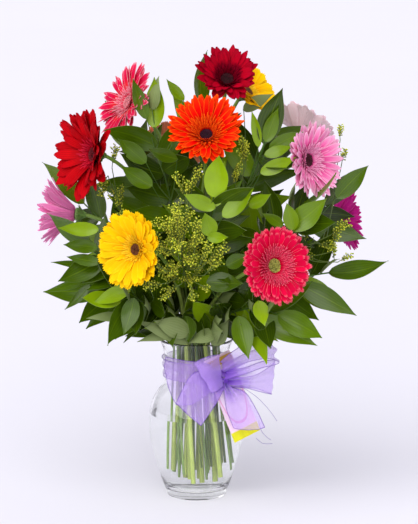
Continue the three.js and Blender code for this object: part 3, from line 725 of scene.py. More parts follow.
@dataclass
class StemLine:
    """A stem's straight foot and the four control points of its curve."""

    start: Array
    along: Array
    handles: Array
    steps: int

    def at(self, t: float) -> Array:
        """The curve's point at t from 0 at the mouth to 1 at the head."""
        weights = np.array([(1 - t) ** 3, 3 * (1 - t) ** 2 * t, 3 * (1 - t) * t**2, t**3])
        return weights @ self.handles

    def direction(self, t: float) -> Array:
        """The way that the curve runs at t."""
        if t == 0:
            return self.along
        low, high = max(0.0, t - 1e-4), min(1.0, t + 1e-4)
        return unit(self.at(high) - self.at(low))

    def spot(self, part: float) -> tuple[Array, Array]:
        """A spot on the solid's straight steps, and the way that it runs there."""
        place = part * self.steps
        below = min(self.steps - 1, floor(place))
        share = place - below
        first, second = below / self.steps, (below + 1) / self.steps
        at = self.at(first) * (1 - share) + self.at(second) * share
        along = self.direction(first) * (1 - share) + self.direction(second) * share
        return at, unit(along)

    def fine(self, bends: int = 44, feet: int = 8) -> Array:
        """Points down the whole stem: straight ones from the foot, then the curve.

        Args:
            bends: how many lie on the curve.
            feet: how many lie on the straight foot.

        Returns:
            The points.
        """
        share = np.linspace(0, 1, feet, endpoint=False)[:, None]
        low = self.start + (self.handles[0] - self.start) * share
        place = np.linspace(0, 1, bends)
        steps = np.array([self.at(t) for t in place])
        knots = np.linspace(0, 1, self.steps + 1)
        corners = np.array([self.at(t) for t in knots])
        chords = np.stack([np.interp(place, knots, corners[:, k]) for k in range(3)], -1)
        return np.vstack([low, 0.5 * (steps + chords)])


def shoot_from(upper: Array, root: Array, end: Array, sag: float, count: int) -> Array:
    """The line of a thin shoot that leaves a stem low and carries a leaf or a plume.

    Args:
        upper: the points of the stem that it may start from.
        root: where what it carries is rooted.
        end: where it ends.
        sag: how far it hangs, as a share of its length.
        count: how many points come back.

    Returns:
        The shoot's points.
    """
    start = upper[np.argmin(np.linalg.norm(upper - root + 0.5 * (upper - upper[0]), axis=1))]
    drop = sag * float(np.linalg.norm(start - root)) * UP
    return spline(np.array([start, 0.5 * (start + root) - drop, end]), count)


def bud(heights: Sequence[float], radii: Sequence[float], sides: int) -> Surface:
    """A small body on its own origin, such as a floret, that runs up the Z axis.

    Args:
        heights: the height of each of its rings.
        radii: the radius of each ring.
        sides: how many faces go round it.

    Returns:
        The body.
    """
    made = Surface()
    made.tube(np.array([[0.0, 0.0, height] for height in heights]), np.array(radii), sides)
    return made


@dataclass
class Bundle:
    """The stems' places at the tie, and how the bundle opens towards feet and mouth."""

    tie_height: float = 165.0
    mouth_height: float = 214.0
    tie_radius: float = 33.0
    spacing: float = 7.6
    full_lean: float = 70.0
    foot_turn: float = 25.0
    foot_spread: float = 1.3
    foot_wall_gap: float = 5.5
    mouth_bow: float = 0.36
    rounds: int = 400

    def ties(self, heads: Sequence[Array]) -> list[list[float]]:
        """Where each stem passes the tie: by the way its head leans, then pushed apart."""
        points = []
        for head in heads:
            out = hypot(head[0], head[1])
            lean = atan2(out, head[2] - self.mouth_height)
            share = min(1.0, lean / radians(self.full_lean)) * self.tie_radius / out
            points.append([head[0] * share, head[1] * share])
        for _ in range(self.rounds):
            for i, p in enumerate(points):
                for q in points[:i]:
                    dx, dy = p[0] - q[0], p[1] - q[1]
                    distance = max(hypot(dx, dy), 1e-3)
                    if distance < self.spacing:
                        push = 0.5 * (self.spacing - distance) / distance
                        p[:] = p[0] + dx * push, p[1] + dy * push
                        q[:] = q[0] - dx * push, q[1] - dy * push
            for p in points:
                length = hypot(*p) or 1.0
                held = min(length, self.tie_radius) / length
                p[:] = p[0] * held, p[1] * held
        return points

    def line(
        self, tie: Sequence[float], foot: float, head: Array, towards: Array, bow: float, steps: int
    ) -> StemLine:
        """One stem: straight from foot to mouth, then a smooth curve to its head.

        Args:
            tie: where it passes the tie.
            foot: the height of its cut end.
            head: where it ends.
            towards: the way that it runs at its end.
            bow: the longest handle of the curve at its head.
            steps: into how many steps the solid's curve is cut.

        Returns:
            The stem's line.
        """
        turn = radians(self.foot_turn)
        radii, heights = np.array(Vase.INNER[::-1]).T
        wall = float(np.interp(foot, heights, radii)) - self.foot_wall_gap
        apart = min(self.foot_spread, wall / hypot(*tie))
        x = (tie[0] * cos(turn) - tie[1] * sin(turn)) * apart
        y = (tie[0] * sin(turn) + tie[1] * cos(turn)) * apart
        start = np.array([x, y, foot])
        along = unit(np.array([tie[0], tie[1], self.tie_height]) - start)
        mouth = start + along * (self.mouth_height - foot) / along[2]
        span = float(np.linalg.norm(mouth - head)) * self.mouth_bow
        handles = np.array([mouth, mouth + along * span, head - towards * min(span, bow), head])
        return StemLine(start, along, handles, steps)


def solid_points(node: str) -> Array:
    """A node's vertices, in millimetres."""
    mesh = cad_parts[node].data
    flat = np.zeros(3 * len(mesh.vertices), np.float32)
    mesh.vertices.foreach_get("co", flat)
    return flat.reshape(-1, 3).astype(float) / MM


def has_point(points: Array, wanted: Array, near: float = 0.05) -> bool:
    """Whether a node has a vertex at that place."""
    return bool((np.abs(points - wanted).max(axis=1) < near).any())


class Room:
    """Keeps track of what takes up space, so that extra leaves grow only where nothing else is."""

    def __init__(self) -> None:
        """Starts with every solid of the frame."""
        self.trees: list[BVHTree] = []
        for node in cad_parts.values():
            points = [tuple(v.co) for v in node.data.vertices]
            self.trees.append(BVHTree.FromPolygons(points, [tuple(f.vertices) for f in node.data.polygons]))

    def take(self, grid: Array) -> bool:
        """Takes the space of a blade, given by its points in millimetres, if it is free.

        Args:
            grid: the blade's points.

        Returns:
            Whether the space was free.
        """
        quads = grid_quads(*grid.shape[:2])
        blade = BVHTree.FromPolygons((grid.reshape(-1, 3) * MM).tolist(), quads.tolist())
        if any(tree.overlap(blade) for tree in self.trees):
            return False
        self.trees.append(blade)
        return True


# Gerberas


class Tip(Enum):
    """How a petal ends: its width there as a share, how deep its teeth are and where it starts to narrow."""

    BLUNT = (0.5, 0.03, 0.78)
    TOOTHED = (0.62, 0.05, 0.84)
    TAPERED = (0.3, 0.02, 0.68)
    POINTED = (0.16, 0.0, 0.6)


@dataclass(frozen=True)
class PetalRow:
    """One ring of petals: how many, how far they reach, how wide, how steep and how high they start."""

    count: int
    reach: float
    half_width: float
    rise: float
    lift: float
    start: float = 6.0


@dataclass(frozen=True)
class Variety:
    """What sets one gerbera apart from the others."""

    finish: PetalFinish
    disc_foot: Colour
    disc_tip: Colour
    fringe: PetalFinish
    tip: Tip
    rows: Sequence[PetalRow]
    fringe_reach: float = 0.36
    disc_radius: float = 8.4
    fringe_rings: int = 4
    fringe_width: float = 1.25
    unruly: float = 1.0


def full_rows(width: float, count: int, reach: float = 1.0) -> Sequence[PetalRow]:
    """Rows of a well filled bloom."""
    return (
        PetalRow(count, reach, width, -2.5, -0.3),
        PetalRow(count - 2, 0.98 * reach, width * 0.94, 0.5, 0.3),
        PetalRow(count - 5, 0.93 * reach, width * 0.8, 3.5, 0.9),
        PetalRow(count - 3, 0.52 * reach, width * 0.42, 8.0, 1.5),
    )


@dataclass
class Gerbera:
    """One gerbera: head of petals, disc of florets, green calyx and stem."""

    name: str
    at: Triple
    azimuth: float
    rise: float
    diameter: float
    cup: float
    foot: float
    seed: int
    variety: Variety
    slots: tuple[str, str]
    line: StemLine | None = None

    HUB_RADIUS = 9.5
    HUB_DEPTH = 1.2
    GAP = 0.3
    CALYX_TOP = -HUB_DEPTH - 2 * GAP
    CALYX_LENGTH = 13.0
    CALYX_OVERLAP = 1.5
    STEM_RADIUS = 2.8
    NECK = 50.0
    STEPS = 4
    LIFT = 1.1
    GRIDS = ((9, 7), (5, 3))
    THICKNESS = (0.45, 0.35)
    SCALE_THICKNESS = 0.4
    SCALES = ((16, 0.0, 9.0, 28), (18, 3.0, 9.5, 42), (20, 6.5, 9.0, 62))
    FLORETS = 170
    FLORET = ((-0.6, 1.2, 1.9, 2.1), (0.36, 0.6, 0.5, 0.16), 5)
    HAIRS = 260
    HAIR = ((0.0, 0.6, 1.2), (0.06, 0.045, 0.012), 3)
    CUP = ((0, -13), (2.24, -13), (4, -9.5), (6.6, -6), (8.2, -2.6), (8.6, 0), (0, 0.2))

    def axes(self) -> Array:
        """Right, up and facing directions of the bloom, as rows."""
        facing = self.facing
        right = -unit(np.cross(UP, facing))
        return np.array([right, unit(np.cross(facing, right)), facing])

    @property
    def facing(self) -> Array:
        """The way that the bloom faces."""
        return heading(self.azimuth, self.rise)

    @property
    def back(self) -> Array:
        """Where the stem ends in the calyx."""
        return np.array(self.at) + self.facing * (self.CALYX_TOP - self.CALYX_LENGTH + self.CALYX_OVERLAP)

    def placed(self, points: Array) -> Array:
        """Points of the bloom's own axes, in the part's frame."""
        return points @ self.axes() + np.array(self.at)

    def turn_out(self, out: object, side: Array, height: Array, turn: float) -> Array:
        """Points of the bloom's axes from how far out, aside and high they lie, turned about its middle.

        Args:
            out: how far out each point lies.
            side: how far to its side.
            height: how high.
            turn: the angle that they are turned by, in radians.

        Returns:
            The points.
        """
        x = out * cos(turn) - side * sin(turn)
        y = out * sin(turn) + side * cos(turn)
        return np.stack([x, y, height], -1)

    def petal(self, row: PetalRow, index: int, seed: float, tip: Tip, size: tuple[int, int]) -> Array:
        """One petal as a grid of points in the bloom's axes.

        Args:
            row: the ring that it belongs to.
            index: its place in the ring.
            seed: sets its own small differences.
            tip: how it ends.
            size: how many points from root to tip and from side to side.

        Returns:
            The grid.
        """
        end_width, teeth, narrowing = tip.value
        t, v = spread(*size)
        turn = FULL_TURN * (index + 0.5 * (draw(seed, 1) - 0.5)) / row.count
        turn += 0.5 * (row.lift + 3) * FULL_TURN / row.count
        stray = self.variety.unruly
        slope = radians(min(84.0, self.cup + row.rise + (2 + 5 * stray) * (draw(seed, 3) - 0.5)))
        hub = max(row.start, min(self.HUB_RADIUS, row.start + 3.5))
        length = (0.5 * self.diameter - self.HUB_RADIUS) / cos(radians(self.cup))
        length *= row.reach * (1.01 - (0.04 + 0.06 * stray) * draw(seed, 2))
        widen = 0.3 + 0.7 * np.sin(0.5 * pi * np.clip(t / narrowing, 0, 1)) ** 0.9
        past = np.clip((t - narrowing) / (1 - narrowing), 0, 1)
        narrow = np.sqrt(1 - past**2 * (1 - end_width**2))
        width = row.half_width * (0.93 + 0.14 * draw(seed, 4)) * widen * narrow
        tooth = teeth * (1 - np.cos(3 * pi * v)) * 0.5 + teeth * v**2
        flat = hub - row.start
        way = t * (flat + length) * (1 - tooth * t**8)
        level, sloped = np.minimum(way, flat), np.maximum(way - flat, 0)
        arch = length * (0.02 + 0.05 * draw(seed, 5)) * np.sin(pi * t)
        tip_roll = length * 0.08 * (draw(seed, 6) - 0.6) * t**3
        groove = 0.32 * np.cos(3 * pi * v) * np.sin(pi * np.clip(0.12 + 0.8 * t, 0, 1))
        trough = 0.1 * width * (1.6 - t) * v**2
        bulge = arch + tip_roll + groove + trough
        run = row.start + level + sloped * cos(slope) - bulge * sin(slope)
        rise = row.lift + sloped * sin(slope) + bulge * cos(slope)
        twist = (0.2 + 0.5 * stray) * (draw(seed, 7) - 0.5) * t
        side = width * v + 0.09 * stray * length * (draw(seed, 9) - 0.5) * t**2
        return self.turn_out(run, side * np.cos(twist), rise + side * np.sin(twist), turn)

    def ring(self, surface: Surface, row: PetalRow, place: int, slot: int, tip: Tip) -> None:
        """Adds one ring of petals, or of the short inner ones.

        Args:
            surface: the piece that they join.
            row: the ring.
            place: its number, which sets the small differences.
            slot: 0 for petals, 1 for the fringe of short ones.
            tip: how they end.
        """
        for index in range(row.count):
            seed = 1000.0 * self.seed + 100.0 * place + index
            grid = self.petal(row, index, seed, tip, self.GRIDS[slot])
            surface.blade(self.placed(grid), self.THICKNESS[slot], slot, draw(seed, 8))

    def petals(self) -> None:
        """Builds the rings of petals and the fringe of short inner ones."""
        surface = Surface()
        kind = self.variety
        for place, row in enumerate(kind.rows):
            self.ring(surface, row, place, 0, kind.tip)
        inner = kind.disc_radius - 1.2
        for place, part in enumerate(np.linspace(0, 1, kind.fringe_rings)):
            count = round(34 - 10 * part + 2 * (kind.fringe_rings - 4))
            row = PetalRow(count, kind.fringe_reach * (1 - 0.62 * part), kind.fringe_width, 12 + 38 * part,
                           1.9 + 0.9 * part, inner - 0.9 * part)
            self.ring(surface, row, place + 5, 1, Tip.POINTED)
        finishes = [kind.finish.material(), kind.fringe.material()]
        surface.piece(f"{self.name}_petals", finishes, self.slots[0], f"gerbera_{self.name}_petals")

    def turned_body(self, surface: Surface, profile: Sequence[object], slot: int, **values: float) -> None:
        """Adds a body turned about the bloom's middle.

        Args:
            surface: the piece that it joins.
            profile: [radius, height] rows that start and end on the axis.
            slot: the finish that it wears.
            values: what its finish reads.
        """
        body = Surface()
        body.lathe(np.array(profile, float), 24)
        surface.add(self.placed(body.points[0]), body.faces, slot, **values)

    def disc(self) -> None:
        """Builds the disc: a low dome packed with florets in spirals."""
        surface = Surface()
        radius, base, count = self.variety.disc_radius, self.LIFT + self.GAP, self.FLORETS
        dome = ((0, base), (radius - 0.6, base), (radius, base + 1.0), (0.8 * radius, base + 1.8),
                (0.5 * radius, base + 2.0), (0, base + 1.7))
        self.turned_body(surface, dome, 0, along=0.1, tone=0.3)
        order = np.arange(count) + 0.5
        out = radius * 0.97 * np.sqrt(order / count)
        angle = order * GOLDEN_ANGLE
        height = base + 1.75 + 0.5 * np.sin(pi * out / radius)
        centre = self.placed(np.stack([out * np.cos(angle), out * np.sin(angle), height], -1))
        right, up, facing = self.axes()
        lean = 0.55 * (out / radius)
        axis = np.outer(np.cos(lean), facing) + (np.sin(lean) * np.cos(angle))[:, None] * right + (
            np.sin(lean) * np.sin(angle))[:, None] * up
        side = np.cross(axis, up)
        side /= lengths(side)
        axes = np.stack([side, np.cross(axis, side), axis], 1)
        draws = np.array([draw(self.seed + 70, k) for k in range(count)])
        scales = (0.62 + 0.38 * out / radius) * (0.85 + 0.3 * draws)
        surface.stamp(bud(*self.FLORET), centre, axes, scales, draws)
        finish = FloretFinish(f"{self.name}_disc", self.variety.disc_foot, self.variety.disc_tip).material()
        surface.piece(f"{self.name}_disc", [finish], self.slots[1], f"gerbera_{self.name}_disc")

    def stem(self, finish: Material, calyx_finish: Material) -> None:
        """Builds the stem with the scales of its calyx and a bloom of short hairs."""
        surface = Surface()
        line = self.line.fine()
        share = np.linspace(0, 1, len(line))
        radii = self.STEM_RADIUS * (1.04 - 0.22 * share + 0.04 * np.sin(9 * share + self.seed))
        surface.tube(line, radii, 14, 0, draw(self.seed, 30))
        cup = [(radius, self.CALYX_TOP + height) for radius, height in self.CUP]
        self.turned_body(surface, cup, 1, along=0.5, tone=0.5)
        for ring, (count, start, length, tilt) in enumerate(self.SCALES):
            for index in range(count):
                seed = 50.0 * self.seed + 20.0 * ring + index
                turn = FULL_TURN * (index + 0.3 * draw(seed, 1)) / count
                grid = self.placed(self.scale(turn, start, length, tilt))
                surface.blade(grid, self.SCALE_THICKNESS, 1, draw(seed, 2))
        self.hairs(surface, line, radii)
        node = f"gerbera_{self.name}_stem"
        surface.piece(f"{self.name}_stem", [finish, calyx_finish], "gerbera_green", node)

    def scale(self, turn: float, start: float, length: float, tilt: float) -> Array:
        """One scale of the calyx as a grid of points in the bloom's axes.

        Args:
            turn: its angle round the cup, in radians.
            start: how far up the cup it is rooted.
            length: how long it is.
            tilt: how far it stands out at its tip, in degrees.

        Returns:
            The grid.
        """
        t, v = spread(6, 3)
        base = self.CALYX_TOP - self.CALYX_LENGTH + start
        root = np.interp(start, [0, 3.5, 7, 10.4, 13], [2.6, 4.2, 6.8, 8.4, 8.7])
        lean = radians(tilt) * (0.8 + 0.2 * t)
        out = root + 0.35 + length * t * np.sin(lean) * 0.75
        height = base + length * t * np.cos(lean)
        outline = np.clip(1 - (2 * np.clip(t - 0.1, 0, 1) - 0.35) ** 2 * 0.6, 0.02, 1)
        width = 1.25 * np.sqrt(outline) * (1 - 0.88 * t**3)
        return self.turn_out(out, width * v, height - 0.2 * v**2, turn)

    def hairs(self, surface: Surface, line: Array, radii: Array) -> None:
        """Adds short pale hairs along the upper stem.

        Args:
            surface: the piece that they join.
            line: the stem's centre points.
            radii: its radius at each point.
        """
        tangents = np.gradient(line, axis=0)
        places, axes, sizes = [], [], []
        for k in range(self.HAIRS):
            part = (0.45 + 0.54 * draw(self.seed + 300, k)) * (len(line) - 1)
            step = int(part)
            centre = line[step] + (line[step + 1] - line[step]) * (part - step)
            along = unit(tangents[step])
            side = unit(np.cross(along, [0.3, 0.8, 0.5]))
            out = turned(side, along, FULL_TURN * draw(self.seed + 400, k))
            places.append(centre + out * radii[step] * 0.92)
            lean = unit(out + along * (0.4 * draw(self.seed + 500, k) - 0.1))
            across = unit(np.cross(along, lean))
            axes.append([across, np.cross(lean, across), lean])
            sizes.append(0.8 + 0.6 * draw(self.seed + 600, k))
        tones = np.full(self.HAIRS, 0.9)
        surface.stamp(bud(*self.HAIR), np.array(places), np.array(axes), np.array(sizes), tones)


# Ruscus


@dataclass
class LeafPlace:
    """Where a leaf sits: root, direction, side that faces inwards, length and half width."""

    root: Array
    direction: Array
    inner: Array
    length: float
    half: float

    ARCH = 0.08
    DROOP = 0.08

    @property
    def side(self) -> Array:
        """The way in which its width runs."""
        return unit(np.cross(self.direction, self.inner))

    def rise(self, t: object) -> object:
        """How far the blade stands over its straight line at t."""
        return self.length * (self.ARCH * 4 * t * (1 - t) - self.DROOP * t * t)

    def tip(self) -> Array:
        """The leaf's end."""
        return self.root + self.direction * self.length + self.inner * self.rise(1.0)


@dataclass(frozen=True)
class Accent:
    """A leaf on a side shoot: its stem, root, tip, width and tint, partly its own and partly painted light
    and shade, and whether its reverse shows.
    """

    stem: str
    root: Triple
    tip: Triple
    width: float
    tone: float
    back: bool = False

    def place(self, seed: float) -> LeafPlace:
        """Where the leaf sits, turned mostly to the front.

        Args:
            seed: sets how it is turned.

        Returns:
            The leaf's place.
        """
        root = np.array(self.root, float)
        way = np.array(self.tip, float) - root
        length = float(np.linalg.norm(way))
        direction = way / length
        out = heading(70 * (draw(seed, 1) - 0.5), 40 * draw(seed, 2))
        inner = unit(out - direction * (out @ direction))
        return LeafPlace(root, direction, inner if self.back else -inner, length, 0.5 * self.width)


# Each row: a stem, then its leaves as root, tip, width, tone and, where given, True for a reverse that shows;
# the tones are partly painted light and shade, set leaf by leaf to how brightly each is lit
ACCENTS = tuple(Accent(stem, *row) for stem, *rows in (
    ("centre", ((25, -100, 402), (34, -104, 462), 22, 1), ((24, -104, 400), (-16, -112, 421), 19, 0.86),
      ((33, -104, 390), (74, -112, 427), 22, 0.8), ((66, -96, 402), (95, -104, 418), 17, 0.74),
      ((19, -108, 366), (11, -114, 398), 22, 0.82), ((14, -108, 364), (41, -118, 367), 14, 0.86),
      ((-10, -100, 372), (-29, -110, 412), 19, 0.5), ((38, -104, 327), (65, -116, 344), 18, 0.4)),
    ("lower_right", ((13, -92, 304), (60, -106, 304), 26, 0.34)),
    ("right_mid", ((109, -92, 376), (83, -98, 394), 14, 0.6), ((123, -90, 370), (113, -100, 408), 19, 0.72),
      ((117, -84, 370), (165, -96, 412), 30, 0.66)),
    ("front_left", ((-82, -96, 298), (-131, -110, 279), 19, 0.84),
      ((-78, -92, 283), (-91, -100, 237), 23, 0.42), ((-16, -50, 230), (-75, -66, 221), 15, 0.3, True),
      ((-11, -54, 215), (-76, -72, 250), 17, 0.35, True)),
    ("centre", ((-8, -58, 229), (-52, -76, 249), 27, 0.3, True)),
    ("front_left", ((-26, -46, 246), (-27, -54, 211), 23, 0.12),
      ((-13, -56, 251), (-8, -64, 217), 26, 0.25)),
    ("centre", ((27, -54, 230), (-9, -62, 218), 19, 0.3, True), ((6, -42, 253), (12, -54, 211), 23, 0.12)),
    ("lower_right", ((33, -42, 253), (29, -54, 210), 23, 0.15), ((47, -40, 245), (51, -52, 213), 19, 0.15),
      ((20, -52, 212), (40, -66, 247), 23, 0.35, True), ((78, -104, 282), (86, -112, 251), 21, 0.95),
      ((53, -72, 255), (66, -88, 202), 27, 0.6), ((76, -78, 254), (154, -96, 221), 28, 0.6)),
    ("right_low", ((131, -44, 290), (205, -66, 253), 28, 0.42)),
    ("left_low", ((-123, -66, 366), (-175, -84, 371), 18, 0.85),
      ((-125, -60, 341), (-169, -76, 349), 18, 0.55), ((-122, -60, 322), (-165, -70, 331), 15, 0.5)),
    ("lower_left", ((-131, -40, 310), (-186, -52, 321), 9, 0.45),
      ((-131, -30, 296), (-193, -46, 278), 10, 0.5), ((-136, -36, 288), (-168, -50, 257), 12, 0.35),
      ((-91, -50, 248), (-139, -66, 252), 14, 0.3, True)),
    ("upper_left", ((-62, -30, 501), (-82, -36, 555), 18, 0.55),
      ((-56, -24, 512), (-49, -30, 556), 19, 0.4, True), ((-15, -24, 525), (-39, -34, 553), 15, 0.72),
      ((-63, -46, 448), (-100, -58, 482), 21, 0.56), ((-55, -56, 420), (-96, -70, 448), 22, 0.56),
      ((-23, -60, 455), (-62, -72, 470), 17, 0.34)),
    ("back_right", ((60, 20, 504), (97, 10, 527), 17, 0.4, True)),
    ("upper_right", ((79, -52, 469), (70, -60, 518), 12, 0.86), ((88, -50, 475), (103, -56, 521), 18, 0.62),
      ((92, -52, 467), (136, -62, 491), 17, 0.6), ((86, -58, 460), (122, -66, 472), 15, 0.72),
      ((81, -64, 438), (127, -76, 461), 18, 0.86)),
    ("far_right", ((179, -20, 397), (219, -28, 443), 25, 0.5)),
) for row in rows)


@dataclass
class Ruscus:
    """One leafy ruscus stem."""

    name: str
    tip: Triple
    droop: float
    face: float
    leaves: int
    foot: float
    seed: int
    brightness: float
    tip_size: float = 1.0
    line: StemLine | None = None
    surface: Surface = field(default_factory=Surface)

    STEM_RADIUS = 1.6
    STEPS = 5
    LENGTH = 78.0
    WIDTH = 31.0
    THICKNESS = 0.7
    BLADE_THICKNESS = 0.45
    ANGLE = radians(48)
    START = 0.16
    END = 0.97
    EXTRA = 14
    TRIALS = 8
    BENDS = (
        (0, 0, 1), (12, 0, 1), (-12, 0, 1), (0, 24, 1), (0, -24, 1), (12, 30, 0.95), (-12, -30, 0.95),
        (18, -30, 0.95), (-18, 30, 0.95), (0, 50, 0.95), (0, -50, 0.95), (14, 55, 0.9), (-14, -55, 0.9),
        (0, 0, 0.85), (20, 20, 0.85), (-20, -20, 0.85), (0, 75, 0.9), (0, -75, 0.9), (10, 95, 0.85),
        (-10, -95, 0.85), (0, 35, 0.75), (0, -35, 0.75), (15, 70, 0.75), (-15, -70, 0.75), (0, 0, 0.65),
        (22, 110, 0.75), (-22, -110, 0.75), (25, 45, 0.65), (-25, -45, 0.65), (0, 140, 0.7), (0, -140, 0.7),
    )

    def place(self, index: int, bend: Triple) -> LeafPlace:
        """Where a leaf sits with a given bend.

        Args:
            index: its place up the stem, the tip leaf last.
            bend: its turn and roll in degrees, and its size.

        Returns:
            The leaf's place.
        """
        turn, roll_by, size = bend
        tip_leaf = index == self.leaves - 1
        part = 1.0 if tip_leaf else self.START + (self.END - self.START) * index / (self.leaves - 1)
        root, along = self.line.spot(0.995 if tip_leaf else part)
        side = 1 if index % 2 == 0 else -1
        roll = radians((draw(self.seed, index) - 0.5) * 60 + roll_by)
        across = turned(unit(np.cross(heading(self.face, 25), along)) * side, along, roll)
        angle = radians(turn)
        if not tip_leaf:
            angle = self.ANGLE + radians(turn + (draw(self.seed, index + 30) - 0.5) * 22)
        direction = along * cos(angle) + across * sin(angle)
        tilt = radians((draw(self.seed, index + 60) - 0.5) * 50)
        inner = unit(turned(np.cross(across, along) * side, direction, tilt))
        young = 1 - 0.3 * part
        length = self.LENGTH * (0.9 + 0.22 * draw(self.seed, index + 90)) * size * (0.75 + 0.25 * young)
        return LeafPlace(root, direction, inner, length, 0.5 * self.WIDTH * length / self.LENGTH)

    def leaf(self, place: LeafPlace, seed: float) -> Array:
        """The leaf's blade as a grid of points.

        Args:
            place: where it sits.
            seed: sets its own small waves.

        Returns:
            The grid.
        """
        t, v = spread(17, 9)
        outline = np.sin(pi * t**0.75)
        width = place.half * np.clip(outline, 0, 1) ** (0.76 + 0.45 * t) + 0.35 * (1 - t) + 0.02
        fold = -0.24 * width * np.abs(v) ** 1.3
        wave = 0.05 * place.half * np.sin(7 * t + 6 * draw(seed, 1)) * v * np.abs(v)
        curl = 0.035 * place.length * (draw(seed, 2) - 0.5) * t**2
        height = place.rise(t) + fold + wave + curl
        side = width * v + 0.03 * place.length * (draw(seed, 3) - 0.5) * np.sin(pi * t)
        return (place.root + t[..., None] * place.length * place.direction
                + height[..., None] * place.inner + side[..., None] * place.side)

    def extra_place(self, index: int, trial: int) -> LeafPlace:
        """Where one of the smaller inner leaves could sit.

        Args:
            index: its number.
            trial: how many places were tried for it before.

        Returns:
            The leaf's place.
        """
        seed = 7000.0 + 100.0 * self.seed + 10.0 * index + trial
        part = 0.04 + 0.9 * (index + draw(seed, 1)) / self.EXTRA
        root, along = self.line.spot(part)
        out = unit(heading(self.face, 20) + 0.8 * unit(np.array([root[0], root[1], 1e-3])))
        side = 1 if (index + trial) % 2 == 0 else -1
        across = turned(unit(np.cross(out, along)) * side, along, radians(150 * (draw(seed, 2) - 0.5)))
        angle = radians(38 + 50 * draw(seed, 3))
        direction = unit(along * cos(angle) + across * sin(angle) - 0.35 * UP * draw(seed, 4))
        inner = -unit(out - direction * (out @ direction))
        inner = unit(turned(inner, direction, radians(70 * (draw(seed, 5) - 0.5))))
        length = self.LENGTH * (0.62 + 0.34 * draw(seed, 6)) * (1 - 0.05 * trial)
        return LeafPlace(root, direction, inner, length, 0.21 * length)

    def add(self, grid: Array, tone: float) -> None:
        """Adds a leaf with its grid thinned from side to side."""
        self.surface.blade(grid[:, ::2], self.BLADE_THICKNESS, 0, float(np.clip(tone, 0, 1)))

    def grow_main(self) -> None:
        """Adds the leaves that the solid has, each with the bend that it has there."""
        solid = solid_points(f"ruscus_{self.name}")
        for index in range(self.leaves):
            places = (self.place(index, bend) for bend in self.BENDS)
            half_thick = 0.5 * self.THICKNESS
            found = next((p for p in places if has_point(solid, p.tip() + p.inner * half_thick)), None)
            if found is None:
                LOG.info("%s has no leaf %d", self.name, index)
                continue
            if index == self.leaves - 1:
                found.length, found.half = found.length * self.tip_size, found.half * self.tip_size
            seed = self.seed * 40.0 + index
            self.add(self.leaf(found, seed), self.brightness - 0.05 + 0.85 * draw(seed, 4))

    def grow_side(self, upper: Array) -> None:
        """Adds the leaves that stand out, each on a thin shoot from the stem.

        Args:
            upper: the points of the stem that the shoots may leave.
        """
        for index, accent in enumerate(ACCENTS):
            if accent.stem == self.name:
                place = accent.place(500.0 + index)
                self.add(self.leaf(place, 300.0 + index), accent.tone)
                shoot = shoot_from(upper, place.root, place.root + place.direction, 0.08, 9)
                self.surface.tube(shoot, np.linspace(0.9, 0.55, 9), 6, 1, 0.4)

    def grow_extra(self, room: Room) -> None:
        """Adds smaller leaves in the gaps between the others.

        Args:
            room: what takes up space.
        """
        for index in range(self.EXTRA):
            places = (self.extra_place(index, trial) for trial in range(self.TRIALS))
            grids = (self.leaf(place, self.seed * 90.0 + index) for place in places)
            found = next((grid for grid in grids if room.take(grid[4:-1:3, 1:-1:3])), None)
            if found is not None:
                self.add(found, self.brightness - 0.1 + 0.6 * draw(self.seed + 4, index))

    def build(self, leaf_finish: Material, stem_finish: Material, room: Room) -> None:
        """Builds the stem with all its leaves."""
        line = self.line.fine()
        radii = self.STEM_RADIUS * np.linspace(1.0, 0.62, len(line))
        self.surface.tube(line, radii, 8, 1, draw(self.seed, 31))
        self.grow_main()
        self.grow_side(line[len(line) // 3:])
        self.grow_extra(room)
        node = f"ruscus_{self.name}"
        self.surface.piece(f"{self.name}_leaves", [leaf_finish, stem_finish], "ruscus_green", node, 60)


# Solidago


